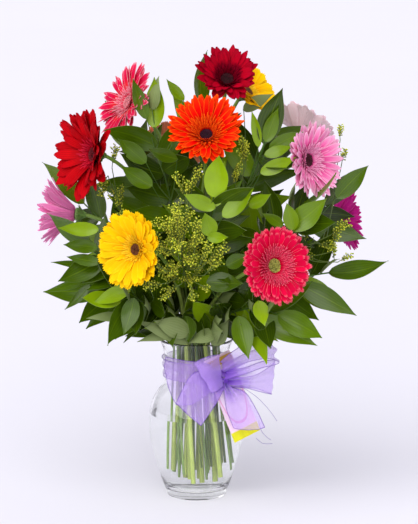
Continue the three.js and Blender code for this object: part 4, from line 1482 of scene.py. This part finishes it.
@dataclass
class Solidago:
    """One solidago spray: twigs set with tiny florets."""

    name: str
    tip: Triple
    droop: float
    twigs: int
    twig_length: float
    foot: float
    plumes: Sequence[Ends]
    seed: int
    line: StemLine | None = None
    surface: Surface = field(default_factory=Surface)
    florets: list[tuple[Array, Array, float]] = field(default_factory=list)

    STEM_RADIUS = 1.4
    STEPS = 4
    TWIG_START = 0.42
    SIDE_TWIGS = 5
    SPACING = 1.6
    FLORET = ((-0.2, 1.9, 2.3), (0.3, 0.82, 0.35), 4)
    BENDS = (
        (0, 1), (25, 1), (-25, 1), (50, 0.9), (-50, 0.9), (75, 0.85), (-75, 0.85), (110, 0.8),
        (-110, 0.8), (150, 0.75), (0, 0.6), (60, 0.6), (-60, 0.6), (120, 0.55), (-120, 0.55), (180, 0.5),
    )

    def twig(self, index: int, bend: tuple[float, float]) -> tuple[Array, Array, float]:
        """Where a twig grows with a given bend.

        Args:
            index: its place up the stem, the tip twig last.
            bend: its turn in degrees and its size.

        Returns:
            Its root, its direction and its length.
        """
        turn, size = bend
        tip_twig = index == self.twigs - 1
        part = 0.995 if tip_twig else self.TWIG_START + (0.96 - self.TWIG_START) * index / (self.twigs - 1)
        root, along = self.line.spot(part)
        around = radians(137.5 * index + turn + 20 * draw(self.seed, index))
        across = turned(unit(np.cross(UP, along)), along, around)
        angle = radians(0.1 * turn) if tip_twig else radians(48)
        direction = along * cos(angle) + across * sin(angle)
        length = self.twig_length * size * (1.15 - 0.45 * part) * (0.9 + 0.2 * draw(self.seed, index + 20))
        return root, direction, length

    def build(self, stem_finish: Material, floret_finish: Material) -> None:
        """Builds the stem, the twigs where the solid has them, their side twigs and florets."""
        line = self.line.fine(40)
        self.surface.tube(line, self.STEM_RADIUS * np.linspace(1.0, 0.5, len(line)), 7, 0, 0.4)
        solid = solid_points(f"solidago_{self.name}")
        for index in range(self.twigs):
            places = (self.twig(index, bend) for bend in self.BENDS)
            found = next((p for p in places if has_point(solid, p[0] + p[1] * p[2])), None)
            if found is None:
                LOG.info("%s has no twig %d", self.name, index)
            else:
                self.grow(*found, self.seed * 50.0 + index, 2)
        for index, plume in enumerate(self.plumes):
            root, tip = np.array(plume[:3], float), np.array(plume[3:], float)
            length = float(np.linalg.norm(tip - root))
            shoot = shoot_from(line[len(line) // 2:], root, root, 0.1, 7)
            self.surface.tube(shoot, np.full(7, 0.6), 5, 0, 0.5)
            self.grow(root, (tip - root) / length, length, self.seed * 60.0 + index, 2)
        origins, axes, tones = (np.array(column) for column in zip(*self.florets))
        draws = np.array([draw(self.seed + 900, k) for k in range(len(origins))])
        self.surface.stamp(bud(*self.FLORET), origins, axes, 0.9 + 0.4 * draws + 0.3 * tones, tones, 1)
        node = f"solidago_{self.name}"
        self.surface.piece(f"{self.name}_spray", [stem_finish, floret_finish], "solidago_yellow", node)

    def grow(self, root: Array, direction: Array, length: float, seed: float, level: int) -> None:
        """Grows one twig with its florets, and side twigs on it.

        Args:
            root: where it starts.
            direction: where it points at first.
            length: how long it is.
            seed: sets its own small differences.
            level: how many more times it may branch.
        """
        side = unit(np.cross(direction, UP + 0.2 * direction))
        over = np.cross(side, direction)
        t = np.linspace(0, 1, 7)[:, None]
        sway = length * 0.12 * (draw(seed, 1) - 0.5)
        line = root + direction * length * t + over * length * 0.1 * np.sin(2.6 * t) + side * sway * t**2
        self.surface.tube(line, np.linspace(0.55, 0.25, 7) * (0.6 + 0.2 * level), 4, 0, 0.6)

        def at(place: float) -> Array:
            """The twig's point at a share of its length."""
            step = place * 6
            low = min(5, int(step))
            return line[low] + (line[low + 1] - line[low]) * (step - low)

        start = 0.25 if level == 2 else 0.1
        for place in np.arange(start, 1.0, self.SPACING / length):
            out = turned(side, direction, GOLDEN_ANGLE * round(place * length) + 5 * draw(seed, 7))
            facing = unit(0.55 * direction + out)
            across = unit(np.cross(facing, direction))
            axes = np.array([across, np.cross(facing, across), facing])
            # the tone rises with the place along the twig, so florets near its root come out darker: partly
            # their own greener colour and partly painted shade inside the spray
            self.florets.append((at(place) + out * 0.8, axes, place * (0.5 + 0.5 * draw(seed, 100 * place))))
        for k in range(self.SIDE_TWIGS if level > 1 else 0):
            place = 0.18 + 0.68 * (k + 0.4 * draw(seed, k + 40)) / self.SIDE_TWIGS
            out = turned(side, direction, 2.4 * k + 2 * draw(seed, 20))
            aim = unit(direction + 0.5 * out + 0.25 * UP)
            self.grow(at(place), aim, length * (0.62 - 0.4 * place), seed * 3.0 + k + 0.5, level - 1)


# Vase, water, ribbon and sachet


@dataclass
class Vase:
    """The clear urn vase with its thick foot, and the water in it."""

    segments: int = 144
    floor: float = 10.0
    water_level: float = 117.0
    water_tint: Colour = (0.99, 0.998, 0.992)
    water_index: float = 1.15

    OUTER = (
        (39.5, 4.5), (46, 22), (54.5, 50), (60.8, 78), (61.6, 102), (59, 122),
        (51, 138), (42, 150), (39.6, 163), (40.8, 184), (43.8, 198), (48.6, 209),
    )
    INNER = (
        (46.4, 209.6), (41.2, 198), (38.2, 184), (37, 163), (39.4, 149.2), (48.6, 136.8), (56.4, 121),
        (59, 101.6), (58.2, 78.4), (52, 51), (43.6, 23.4), (35, 12.5),
    )
    FOOT = ((0, 1.6), (26, 1.2), (32, 0.0), (36.5, 0.0), (38.6, 1.2))
    RIM = ((48.7, 209.9), (48.1, 210.4), (47.2, 210.3))
    CLEAR_RINGS = 4

    def build(self) -> None:
        """Builds glass and water."""
        outside = spline(np.array(self.OUTER, float), 64)
        wall = spline(np.array(self.INNER, float), 56)
        glass = Surface()
        bottom = [(28, 10.6), (14, 10.1), (0, self.floor)]
        glass.lathe(np.vstack([self.FOOT, outside, self.RIM, wall, bottom]), self.segments)
        finish = GlassFinish("clear_glass", (0.993, 0.998, 0.995), 1.47).material()
        glass.piece("vase_glass", [finish], "glass", "vase", 35)
        level = self.water_level
        wall = wall[::-1]
        wall = wall[wall[:, 1] < level - 0.5]
        edge = wall[-1, 0]
        water = Surface()
        water.lathe(np.vstack([
            [(0, self.floor - 0.1), (14, self.floor), (28, 10.5)], wall + [0.12, 0.0],
            [(edge, level + 0.9), (edge - 0.8, level + 0.25), (edge - 3, level), (0, level)]]), self.segments)
        sides, caps = water.slots
        sides[-self.CLEAR_RINGS * self.segments:] = 1
        caps[-self.segments:] = 1
        body = GlassFinish("still_water", self.water_tint, self.water_index).material()
        surface = GlassFinish("water_surface", self.water_tint, self.water_index, 0.8).material()
        water.piece("water_fill", [body, surface], "water", "water", 35)


@dataclass(frozen=True)
class Strip:
    """One strip of the bow: the two ends of each row across it, its pleats and gathers, its loose threads."""

    name: str
    rows: Sequence[Ends]
    pleats: int
    bulge: float
    cover: float
    gathering: float = 1.0
    loose: Sequence[Sequence[Triple]] = ()


STRIPS = (
    Strip("bow_upper_loop", (
        (31, -49, 190, 38, -46, 166), (50, -52, 206, 61, -54, 174), (74, -49, 218, 84, -52, 182),
        (98, -42, 217, 104, -46, 186), (88, -38, 207, 92, -39, 190), (61, -38, 195, 64, -38, 184),
        (40, -41, 184, 42, -41, 170)), 2, 0.0, 0.06),
    Strip("bow_lower_loop", (
        (40, -45, 177, 42, -45, 154), (61, -54, 182, 64, -54, 155), (84, -52, 190, 83, -52, 150),
        (102, -44, 189, 97, -44, 145), (82, -38, 172, 79, -38, 151), (59, -38, 166, 60, -38, 154),
        (43, -41, 168, 43, -41, 158)), 3, 0.0, 0.06),
    Strip("bow_left_loop", (
        (29, -54, 200, 34, -54, 158), (12, -68, 200, 28, -66, 156), (-3, -67, 191, 20, -70, 154),
        (12, -60, 189, 25, -60, 159), (32, -46, 174, 33, -46, 160)), 2, 0.0, 0.24, 0.7),
    Strip("bow_left_tail", (
        (33, -45, 174, 32, -45, 160), (12, -53, 188, 15, -56, 149), (-13, -53, 191, -5, -60, 136),
        (-40, -19, 188, -26, -53, 133)), 3, 7.0, 0.12, 0.9),
    Strip("bow_left_fold", (
        (28, -46, 171, 34, -46, 154), (10, -60, 180, 29, -60, 144), (-8, -67, 174, 20, -66, 130),
        (-26, -66, 139, 6, -70, 110)), 2, 1.0, 0.24, 0.95),
    Strip("bow_right_tail", (
        (33, -43, 161, 41, -43, 157), (37, -57, 135, 62, -58, 151), (42, -58, 118, 77, -60, 128),
        (48, -57, 103, 88, -57, 104)), 2, 3.0, 0.12, loose=(
            ((56, -50, 158), (78, -49, 142), (94, -46, 124), (104, -44, 109)),
            ((80, -55, 112), (84, -52, 98), (90, -50, 90), (96, -48, 85)),
            ((77, -54, 89), (84, -51, 82), (90, -49, 80), (98, -48, 80)))),
)


@dataclass
class Ribbon:
    """The organza ribbon: the band round the neck and the bow in front."""

    width: float = 40.0
    thickness: float = 0.3
    thread: float = 0.38
    reach: float = 36.0
    band_off: float = 2.7
    knot_half: Triple = (7.0, 11.0, 6.0)
    knot_at: Triple = (36.0, -40.5, 167.0)
    loose_thread: float = 0.7 * 0.38

    def strip_grid(self, strip: Strip) -> tuple[Array, Array]:
        """The strip as a grid of points, with how tightly it is gathered there, from 0 to 1."""
        ends = spline(np.array(strip.rows, float), 60)
        first, second = ends[:, :3], ends[:, 3:]
        middle, chord = 0.5 * (first + second), lengths(first - second)
        along = np.gradient(middle, axis=0)
        along /= lengths(along)
        normal = np.cross(along, first - second)
        normal /= lengths(normal)
        t, v = spread(60, 41)
        slack = np.sqrt(np.maximum((self.width / chord) ** 2 - 1, 0.02))
        phase = 6 * draw(len(strip.name), 3)
        wave = np.sin(strip.pleats * pi * v + phase + 0.6 * np.sin(5 * t))
        pleat = chord / strip.pleats * slack / 4.2 * wave
        ripple = 0.7 * np.sin(9 * t + 2.5 * v + phase) * v**2 * np.sin(pi * t)
        share = (0.5 - 0.5 * v)[..., None]
        grid = first[:, None] * share + second[:, None] * (1 - share)
        grid = grid + normal[:, None] * (pleat + ripple)[..., None]
        bulge = strip.bulge * (1 - v**2) * t**6 * (1 + 0.15 * np.sin(8 * v + phase))
        grid = grid + along[:, None] * bulge[..., None]
        away = np.linalg.norm(grid - np.array(self.knot_at), axis=2)
        gather = np.clip(1.15 - away / self.reach, 0, 1) * strip.gathering
        return grid, gather * (1 - strip.cover) + strip.cover

    def band_grid(self) -> tuple[Array, Array]:
        """The band round the neck as a grid of points, with its gathering."""
        t, v = spread(120, 31)
        angle = FULL_TURN * t - 0.9
        low = 157.5 + 1.5 * (1 + np.sin(2 * angle))
        high = 184.5 - 1.0 * (1 + np.sin(angle + 1))
        z = low + (high - low) * (0.5 + 0.5 * v)
        glass = np.interp(z, [157, 163, 170, 184, 190], [41.0, 40.2, 40.4, 41.4, 42.6])
        fold = 7 * v + 1.3 * np.sin(2 * angle)
        radius = glass + self.band_off + np.sin(fold)
        grid = np.stack([radius * np.cos(angle), radius * np.sin(angle), z], -1)
        return grid[:, ::-1], np.clip(0.12 + 0.12 * np.sin(fold + 1.5), 0, 1)

    def knot_grid(self) -> tuple[Array, Array]:
        """The knot as a short wrapped strip, with its gathering."""
        t, v = spread(40, 49)
        out = heading(32, 15)
        side = unit(np.cross(UP, out))
        up = np.cross(out, side)
        angle = FULL_TURN * t * 0.97
        wide, tall, deep = self.knot_half
        swell = 1 + 0.12 * np.cos(2 * v) + 0.15 * np.sin(6 * pi * v + np.sin(angle))
        x = wide * v * (0.9 + 0.1 * np.cos(angle))
        y = tall * np.sin(angle) * swell * 0.72
        z = deep * np.cos(angle) * swell
        grid = np.array(self.knot_at) + x[..., None] * side + y[..., None] * up + z[..., None] * out
        return grid[:, ::-1], np.full(t.shape, 0.9)

    def cloth(
        self, name: str, node: str, grid: Array, gather: Array, finishes: Sequence[Material],
        edges: int, held: str, rests_on: str, loose: Sequence[Array] = (),
    ) -> None:
        """Args:
            name: the piece's name.
            node: the node that it stands for.
            grid: its points.
            gather: how tightly it is gathered at each point.
            finishes: the organza and the thread.
            edges: how many of its edges have a thread: the two long ones and its end.
            held: how it is held, which is not used.
            rests_on: the node that it lies on, which is not used.
            loose: the lines of its loose threads.
        """
        surface = Surface()
        surface.blade(grid, self.thickness, 0, gather)
        sewn = [grid[:, 0], grid[:, -1], grid[-1]][:edges]
        for lines, radius in ((sewn, self.thread), (loose, self.loose_thread)):
            for line in lines:
                surface.tube(line, np.full(len(line), radius), 6, 1)
        made = surface.piece(name, finishes, "organza", node, 70)

    def build(self) -> None:
        """Builds band, knot, loops and tails."""
        organza = OrganzaFinish("organza", rgb(202, 168, 244), rgb(128, 54, 214)).material()
        finishes = [organza, ThreadFinish("edge_thread", rgb(112, 78, 172)).material()]
        self.cloth("ribbon_wrap", "ribbon_band", *self.band_grid(), finishes, 2, "gathered", "vase")
        for strip in STRIPS:
            made = *self.strip_grid(strip), finishes
            loose = [spline(np.array(line, float), 24) for line in strip.loose]
            self.cloth(strip.name, "ribbon_bow", *made, 3, "hung", "ribbon_band", loose)
        self.cloth("bow_knot", "ribbon_bow", *self.knot_grid(), finishes, 0, "gathered", "ribbon_band")


@dataclass
class Sachet:
    """The small packet that leans on the vase behind the bow."""

    azimuth: float = 32.0
    line: Sequence[Triple] = ((70, 34, 88), (43.6, 8, 180), (46.4, 6, 187))
    half_width: float = 21.0
    thickness: float = 1.6
    roundness: float = 2.6

    def build(self) -> None:
        """Builds the packet as a softly swollen blade with crimped ends."""
        out = heading(self.azimuth, 0)
        beside = np.array([-out[1], out[0], 0])
        low, high = self.line[:2]
        face = unit(out + UP * (low[0] - high[0]) / (high[2] - low[2]))
        smooth = spline(np.array([out * d + beside * a + UP * z for d, a, z in self.line]), 40)
        along = np.gradient(smooth, axis=0)
        along /= lengths(along)
        side = np.cross(along, face)
        side /= lengths(side)
        t, v = spread(40, 25)
        wrinkle = 0.35 * np.sin(11 * v + 4 * t) * (t**4 + (1 - t) ** 4)
        grid = smooth[:, None] + side[:, None] * (self.half_width * v)[..., None] + face * wrinkle[..., None]
        power = self.roundness
        ring = (np.abs(v) ** power + np.abs((t - 0.37) / 0.29) ** power) ** (1 / power)
        surface = Surface()
        surface.blade(grid[:, ::-1], self.thickness, 0, np.clip(ring, 0, 1.2))
        colours = rgb(248, 230, 244), rgb(240, 140, 196), rgb(230, 226, 0), rgb(206, 160, 50)
        finish = FilmFinish("packet_film", *colours).material()
        surface.piece("sachet_packet", [finish], "sachet_film", "sachet", 60)


# The bouquet


WHITE = (250, 236, 240)


def petal(name: str, *shades: Triple, **own: float) -> PetalFinish:
    """A petal's finish from the usual values of its root, middle, tip, edge and reverse."""
    return PetalFinish(name, *(rgb(*shade) for shade in shades), **own)


VARIETIES = {
    # dark_red: its dark petal roots and fringe are partly the bloom's own dark red and partly painted shade
    # of its deep, cupped centre
    "dark_red": Variety(
        petal("dark_red_petal", (96, 0, 26), (188, 0, 32), (172, 0, 34), (90, 0, 28), (206, 10, 40),
              edge_share=0.45, edge_start=0.8),
        rgb(34, 0, 12), rgb(80, 2, 24), petal("dark_red_fringe", (60, 0, 16), (120, 0, 28), (150, 0, 34),
              (120, 0, 30), (100, 2, 26)),
        Tip.POINTED, (PetalRow(21, 0.96, 5.8, -3, -0.2), PetalRow(18, 0.94, 5.4, 2, 0.4),
        PetalRow(15, 0.86, 4.6, 6, 1.0)), 0.5, 7.6, unruly=2.4),
    "yellow": Variety(
        petal("yellow_petal", (250, 172, 0), (254, 196, 0), (255, 208, 2), (255, 220, 30), (252, 184, 6),
              vein=0.1),
        rgb(40, 16, 8), rgb(124, 66, 18), petal("yellow_fringe", (150, 84, 10), (250, 184, 4), (255, 222, 50),
              (255, 220, 40), (240, 170, 10), vein=0.1),
        Tip.TOOTHED, full_rows(6.6, 27), 0.3, 6.6, unruly=1.3),
    "orange": Variety(
        petal("orange_petal", (222, 0, 0), (238, 2, 0), (252, 50, 0), (255, 134, 20), (252, 132, 20),
              edge_share=0.5, edge_start=0.74, vein=0.3),
        rgb(24, 4, 24), rgb(64, 14, 44), petal("orange_fringe", (110, 4, 30), (226, 20, 4), (250, 100, 14),
              (255, 120, 30), (240, 80, 10)),
        Tip.TAPERED, full_rows(4.5, 30, 0.94), 0.46, 7.2, 5, unruly=1.5),
    "rose_white": Variety(
        petal("rose_petal", (240, 60, 50), (222, 8, 66), (232, 40, 96), WHITE, (248, 130, 96), edge_share=0.5,
              edge_start=0.8),
        rgb(200, 80, 90), rgb(244, 160, 170), petal("rose_fringe", (226, 50, 60), (228, 36, 80),
              (246, 140, 160), WHITE, (240, 90, 110)),
        Tip.POINTED, full_rows(4.4, 28), 0.4, 8.0, unruly=2.2),
    "red": Variety(
        petal("red_petal", (160, 0, 16), (196, 0, 12), (186, 0, 16), (130, 0, 20), (206, 16, 24),
              edge_share=0.4, edge_start=0.8, vein=0.3),
        rgb(60, 2, 14), rgb(150, 8, 30), petal("red_fringe", (120, 0, 18), (190, 2, 30), (222, 40, 70),
              (200, 20, 40), (160, 4, 20)),
        Tip.TAPERED, (PetalRow(23, 1.0, 7.6, -3, -0.2), PetalRow(21, 0.97, 7.0, 3, 0.4),
        PetalRow(18, 0.84, 5.6, 8, 1.0)), 0.32, 9.0, unruly=2.2),
    "magenta": Variety(
        petal("magenta_petal", (196, 0, 136), (236, 30, 166), (252, 150, 214), (255, 220, 240),
              (255, 150, 206), vein=0.4),
        rgb(40, 6, 24), rgb(110, 20, 60), petal("magenta_fringe", (140, 0, 90), (190, 20, 130),
              (230, 120, 190), (226, 110, 180), (200, 60, 150)),
        Tip.TAPERED, full_rows(4.4, 24), unruly=1.6),
    "deep_magenta": Variety(
        petal("deep_magenta_petal", (166, 4, 112), (214, 10, 148), (230, 44, 168), (244, 120, 196),
              (224, 40, 160)),
        rgb(36, 6, 24), rgb(100, 16, 56), petal("deep_magenta_fringe", (120, 0, 80), (170, 14, 116),
              (220, 100, 170), (214, 90, 160), (180, 40, 130)),
        Tip.TAPERED, full_rows(4.4, 24), unruly=1.6),
    "hot_pink": Variety(
        petal("hot_pink_petal", (204, 0, 48), (218, 0, 54), (228, 6, 70), (255, 160, 164), (240, 40, 70),
              edge_share=0.45, edge_start=0.92, vein=0.16),
        rgb(160, 166, 50), rgb(206, 206, 110), petal("hot_pink_fringe", (200, 0, 50), (216, 0, 58),
              (240, 70, 108), (255, 190, 190), (236, 20, 70), edge_share=0.45, edge_start=0.97),
        Tip.TOOTHED, (PetalRow(34, 1.0, 5.0, -2.5, -0.3), PetalRow(32, 0.98, 4.6, 0.5, 0.3),
        PetalRow(30, 0.86, 4.0, 3.5, 0.9)), 0.5, 8.4, 8, 0.95, 0.8),
    "light_pink": Variety(
        petal("light_pink_petal", (214, 26, 122), (246, 112, 178), (253, 178, 214), (255, 222, 238),
              (250, 190, 214), vein=0.3),
        rgb(36, 8, 16), rgb(96, 22, 44), petal("light_pink_fringe", (200, 30, 110), (238, 100, 170),
              (252, 190, 220), (250, 180, 214), (240, 140, 190)),
        Tip.TAPERED, full_rows(5.0, 28), 0.42, 7.6, 5, unruly=1.5),
    "pale_pink": Variety(
        petal("pale_pink_petal", (248, 180, 198), (255, 208, 220), (255, 224, 232), (255, 238, 243),
              (255, 234, 239)),
        rgb(36, 8, 16), rgb(96, 22, 44), petal("pale_pink_fringe", (230, 130, 170), (246, 180, 208),
              (253, 220, 234), (253, 224, 236), (246, 190, 210)),
        Tip.BLUNT, full_rows(6.6, 22)),
    "coral": Variety(
        petal("coral_petal", (232, 70, 52), (244, 108, 84), (248, 140, 112), (252, 190, 160),
              (246, 150, 110)),
        rgb(44, 16, 10), rgb(120, 50, 24), petal("coral_fringe", (220, 60, 44), (244, 110, 84),
              (252, 180, 150), (252, 180, 150), (240, 120, 90)),
        Tip.BLUNT, full_rows(6.2, 24)),
}


def gerberas() -> list[Gerbera]:
    """All blooms, in the order in which their stems are tied."""
    table = (
        ("dark_red", (39, -14, 548), 4, 37, 80, 42, 24, "dark_red", "dark_red", "dark"),
        ("yellow_back", (64, 46, 523), 62, 42, 84, 26, 34, "yellow", "yellow", "dark"),
        ("orange", (13, -75, 487), -2, 39, 102, 35, 20, "orange", "orange", "dark"),
        ("rose_white", (-85, 12, 515), -62, 26, 107, 14, 30, "rose_white", "rose", "pale"),
        ("red", (-127, -50, 459), -54, 10, 118, 30, 26, "red", "red", "dark"),
        ("magenta_left", (-156, 2, 372), -102, 2, 82, 52, 38, "magenta", "magenta", "dark"),
        ("yellow_front", (-73, -122, 352), -38, 8, 101, 28, 22, "yellow", "yellow", "dark"),
        ("hot_pink", (96, -122, 331), 31, 12, 101, 18, 28, "hot_pink", "hot_pink", "green"),
        ("light_pink", (139, -42, 450), 46, 12, 98, 28, 18, "light_pink", "light_pink", "dark"),
        ("light_pink_back", (134, 84, 463), 140, 46, 84, 34, 32, "pale_pink", "light_pink", "dark"),
        ("magenta_right", (180, 42, 356), 112, 4, 86, 32, 40, "deep_magenta", "magenta", "dark"),
        ("coral_back", (-34, 118, 430), -172, 26, 98, 12, 23, "coral", "coral", "dark"),
    )
    return [
        Gerbera(*row, seed, VARIETIES[kind], (f"petals_{petals}", f"disc_{disc}"))
        for seed, (*row, kind, petals, disc) in enumerate(table)
    ]


def ruscus_stems() -> list[Ruscus]:
    """All leafy stems, in the order in which they are tied."""
    table = (
        ("upper_left", (-54, -24, 490), -0.1, 4, 14, 30, 0.1),
        ("top", (8, 30, 508), -0.2, 0, 10, 36, 0.2),
        ("left_back", (-92, 52, 452), 0.1, -10, 9, 28, 0.0),
        ("far_left", (-146, 34, 380), 0.05, -40, 9, 34, 0.05),
        ("left_low", (-134, -54, 338), -0.1, -30, 10, 30, 0.15),
        ("lower_left", (-120, -8, 276), 0.5, -30, 10, 40, 0.0),
        ("front_left", (-96, -84, 280), 0.35, -30, 8, 36, 0.1),
        ("centre", (22, -108, 416), 0.1, 0, 11, 26, 0.3),
        ("upper_right", (86, -50, 474), -0.1, 8, 13, 32, 0.15),
        ("far_right", (166, 10, 382), 0, 10, 9, 38, 0.05),
        ("right_mid", (132, -62, 392), 0.2, 15, 11, 34, 0.1),
        ("right_low", (170, -22, 300), 0.3, 5, 10, 42, 0.05),
        ("lower_right", (104, -78, 258), 0.6, 10, 10, 36, 0.1),
        ("back_left", (-72, 132, 352), 0.4, -150, 8, 30, 0.1),
        ("back_right", (98, 60, 478), 0, 20, 11, 26, 0.1, 0.5),
    )
    return [Ruscus(*row[:6], 100 + k, *row[6:]) for k, row in enumerate(table)]


def solidago_sprays() -> list[Solidago]:
    """All sprays, in the order in which they are tied."""
    table = (
        ("front", (-22, -134, 376), 0, 19, 58, 44, (
            (-22, -126, 342, -30, -134, 412), (-29, -130, 353, -38, -134, 389),
            (-20, -128, 350, -26, -132, 398), (-2, -126, 345, 7, -130, 390),
            (4, -124, 330, 23, -128, 358), (5, -122, 327, 44, -124, 352),
            (10, -120, 318, 34, -122, 335), (-37, -126, 324, -60, -128, 337),
            (-35, -122, 309, -64, -124, 299), (-18, -118, 307, -41, -120, 285),
            (-8, -118, 307, -6, -118, 285), (3, -118, 307, 15, -118, 297),
            (-12, -100, 411, -29, -106, 442), (-7, -100, 413, 9, -106, 451),
            (-10, -102, 411, -11, -108, 434))),
        ("left", (-112, -30, 404), 0.1, 8, 38, 46, (
            (-107, -30, 438, -98, -34, 466), (-110, -34, 416, -121, -38, 403),
            (-107, -36, 419, -101, -40, 392), (-112, -34, 429, -117, -38, 419))),
        ("middle", (50, -64, 424), 0, 8, 38, 42, (
            (60, -64, 439, 54, -68, 482), (63, -64, 447, 65, -66, 476), (50, -66, 422, 45, -68, 440))),
        ("right", (172, -34, 352), 0.2, 9, 42, 44, (
            (171, -36, 330, 189, -40, 364), (181, -36, 317, 200, -38, 324),
            (176, -36, 317, 171, -38, 342), (184, 0, 469, 187, 0, 487), (186, -6, 439, 193, -8, 457))),
    )
    return [Solidago(*row, 200 + k) for k, row in enumerate(table)]


def end_direction(stem: Ruscus | Solidago, mouth_height: float) -> Array:
    """The way in which a leafy stem or spray runs at its tip."""
    out = unit(np.array(stem.tip, float) - [0, 0, mouth_height])
    out[2] -= stem.droop
    return unit(out)


@dataclass
class Bouquet:
    """Everything that stands in the vase."""

    blooms: list[Gerbera] = field(default_factory=gerberas)
    leafy: list[Ruscus] = field(default_factory=ruscus_stems)
    sprays: list[Solidago] = field(default_factory=solidago_sprays)
    bundle: Bundle = field(default_factory=Bundle)

    def arrange(self) -> None:
        """Finds the line of each stem."""
        others = [*self.leafy, *self.sprays]
        heads = [bloom.back for bloom in self.blooms] + [np.array(stem.tip, float) for stem in others]
        ties = self.bundle.ties(heads)
        for bloom, tie in zip(self.blooms, ties):
            bloom.line = self.bundle.line(tie, bloom.foot, bloom.back, bloom.facing, bloom.NECK, bloom.STEPS)
        for stem, tie, head in zip(others, ties[len(self.blooms):], heads[len(self.blooms):]):
            towards = end_direction(stem, self.bundle.mouth_height)
            stem.line = self.bundle.line(tie, stem.foot, head, towards, inf, stem.STEPS)

    def build(self) -> None:
        """Builds every bloom, leafy stem and spray."""
        self.arrange()
        pale = StemFinish("gerbera_stem", rgb(168, 186, 92), rgb(118, 152, 50)).material()
        calyx = StemFinish("calyx", rgb(96, 132, 52), rgb(120, 152, 78), 0.6, 6.0).material()
        for bloom in self.blooms:
            bloom.petals()
            bloom.disc()
            bloom.stem(pale, calyx)
        leaf = LeafFinish("ruscus_leaf").material()
        wood = StemFinish("ruscus_stem", rgb(112, 142, 66), rgb(76, 112, 28), 0.4, 12.0).material()
        room = Room()
        for stem in self.leafy:
            stem.build(leaf, wood, room)
        # The twigs' dark green is partly their own colour and partly painted shade of the spray's inside.
        twig = StemFinish("solidago_twig", rgb(84, 106, 38), rgb(96, 116, 34), 0.6, 8.0).material()
        floret = FloretFinish("solidago_floret", rgb(146, 168, 26), rgb(250, 248, 76), 0.3).material()
        for spray in self.sprays:
            spray.build(twig, floret)


# Floor, light and camera


@dataclass
class Studio:
    """A plain pale floor, soft light and the camera at the photograph's angle."""

    camera_at: Triple = (0.0163, -4.0, 1.180)
    pitch: float = 12.28
    focal_pixels: float = 3175.0
    picture_height: float = 524.0
    sensor: float = 36.0
    floor_half: float = 14.0
    floor_colour: Colour = rgb(230, 229, 238)
    air_colour: Colour = rgb(244, 243, 252)
    air_strength: float = 0.67

    def floor(self) -> None:
        """Lays the floor."""
        half = self.floor_half
        mesh = bpy.data.meshes.new("floor")
        points = [(-half, -half, 0), (half, -half, 0), (half, half, 0), (-half, half, 0)]
        mesh.from_pydata(points, [], [(0, 1, 2, 3)])
        mesh.materials.append(PaperFinish("floor_paper", self.floor_colour).material())
        linked("floor", mesh)

    def light(self, name: str, kind: str, at: Triple, way: Triple, axis: str, **own: object) -> None:
        """Hangs a soft light.

        Args:
            name: its name.
            kind: AREA or SUN.
            at: where it hangs.
            way: a direction.
            axis: which of its axes runs in that direction.
            own: its other settings.
        """
        data = bpy.data.lights.new(name, kind)
        for key, value in own.items():
            setattr(data, key, value)
        made = linked(name, data)
        made.location = at
        made.rotation_euler = Vector(way).to_track_quat(axis, "Y").to_euler()

    def camera(self) -> None:
        """Sets the camera."""
        data = bpy.data.cameras.new("camera")
        data.sensor_width = self.sensor
        data.lens = self.focal_pixels / self.picture_height * self.sensor
        data.clip_end = 100.0
        made = linked("camera", data)
        made.location = self.camera_at
        made.rotation_euler = (radians(90 - self.pitch), 0, 0)
        bpy.context.scene.camera = made

    def build(self) -> None:
        """Sets up the whole studio."""
        scene = bpy.context.scene
        scene.view_settings.view_transform = "Standard"
        scene.cycles.transparent_max_bounces = 32
        scene.cycles.max_bounces = 16
        scene.cycles.sample_clamp_indirect = 6.0
        world = bpy.data.worlds.new("studio_air")
        world.use_nodes = True
        background = world.node_tree.nodes["Background"]
        background.inputs["Color"].default_value = (*self.air_colour, 1.0)
        background.inputs["Strength"].default_value = self.air_strength
        scene.world = world
        self.camera()
        self.floor()
        self.light("key", "SUN", (0, 0, 0), (-0.45, -1.0, 1.0), "Z",
                   energy=2.82, angle=radians(78), color=(1.0, 0.985, 0.965))
        self.light("fill", "AREA", (1.9, -1.5, 1.1), (-1.9, 1.5, 0.32 - 1.1), "-Z",
                   energy=6.0, shape="SQUARE", size=1.6, color=(0.95, 0.96, 1.0))


def corners(box: tuple[Vector, Vector]) -> list[list[float]]:
    """A box as plain lists."""
    return [list(corner) for corner in box]


def main() -> None:
    """Builds the studio and every piece."""
    logging.basicConfig(level=logging.INFO, format="%(name)s %(message)s", stream=sys.stdout)
    Studio().build()
    Vase().build()
    Ribbon().build()
    Sachet().build()
    Bouquet().build()


if __name__ == "__main__":
    main()
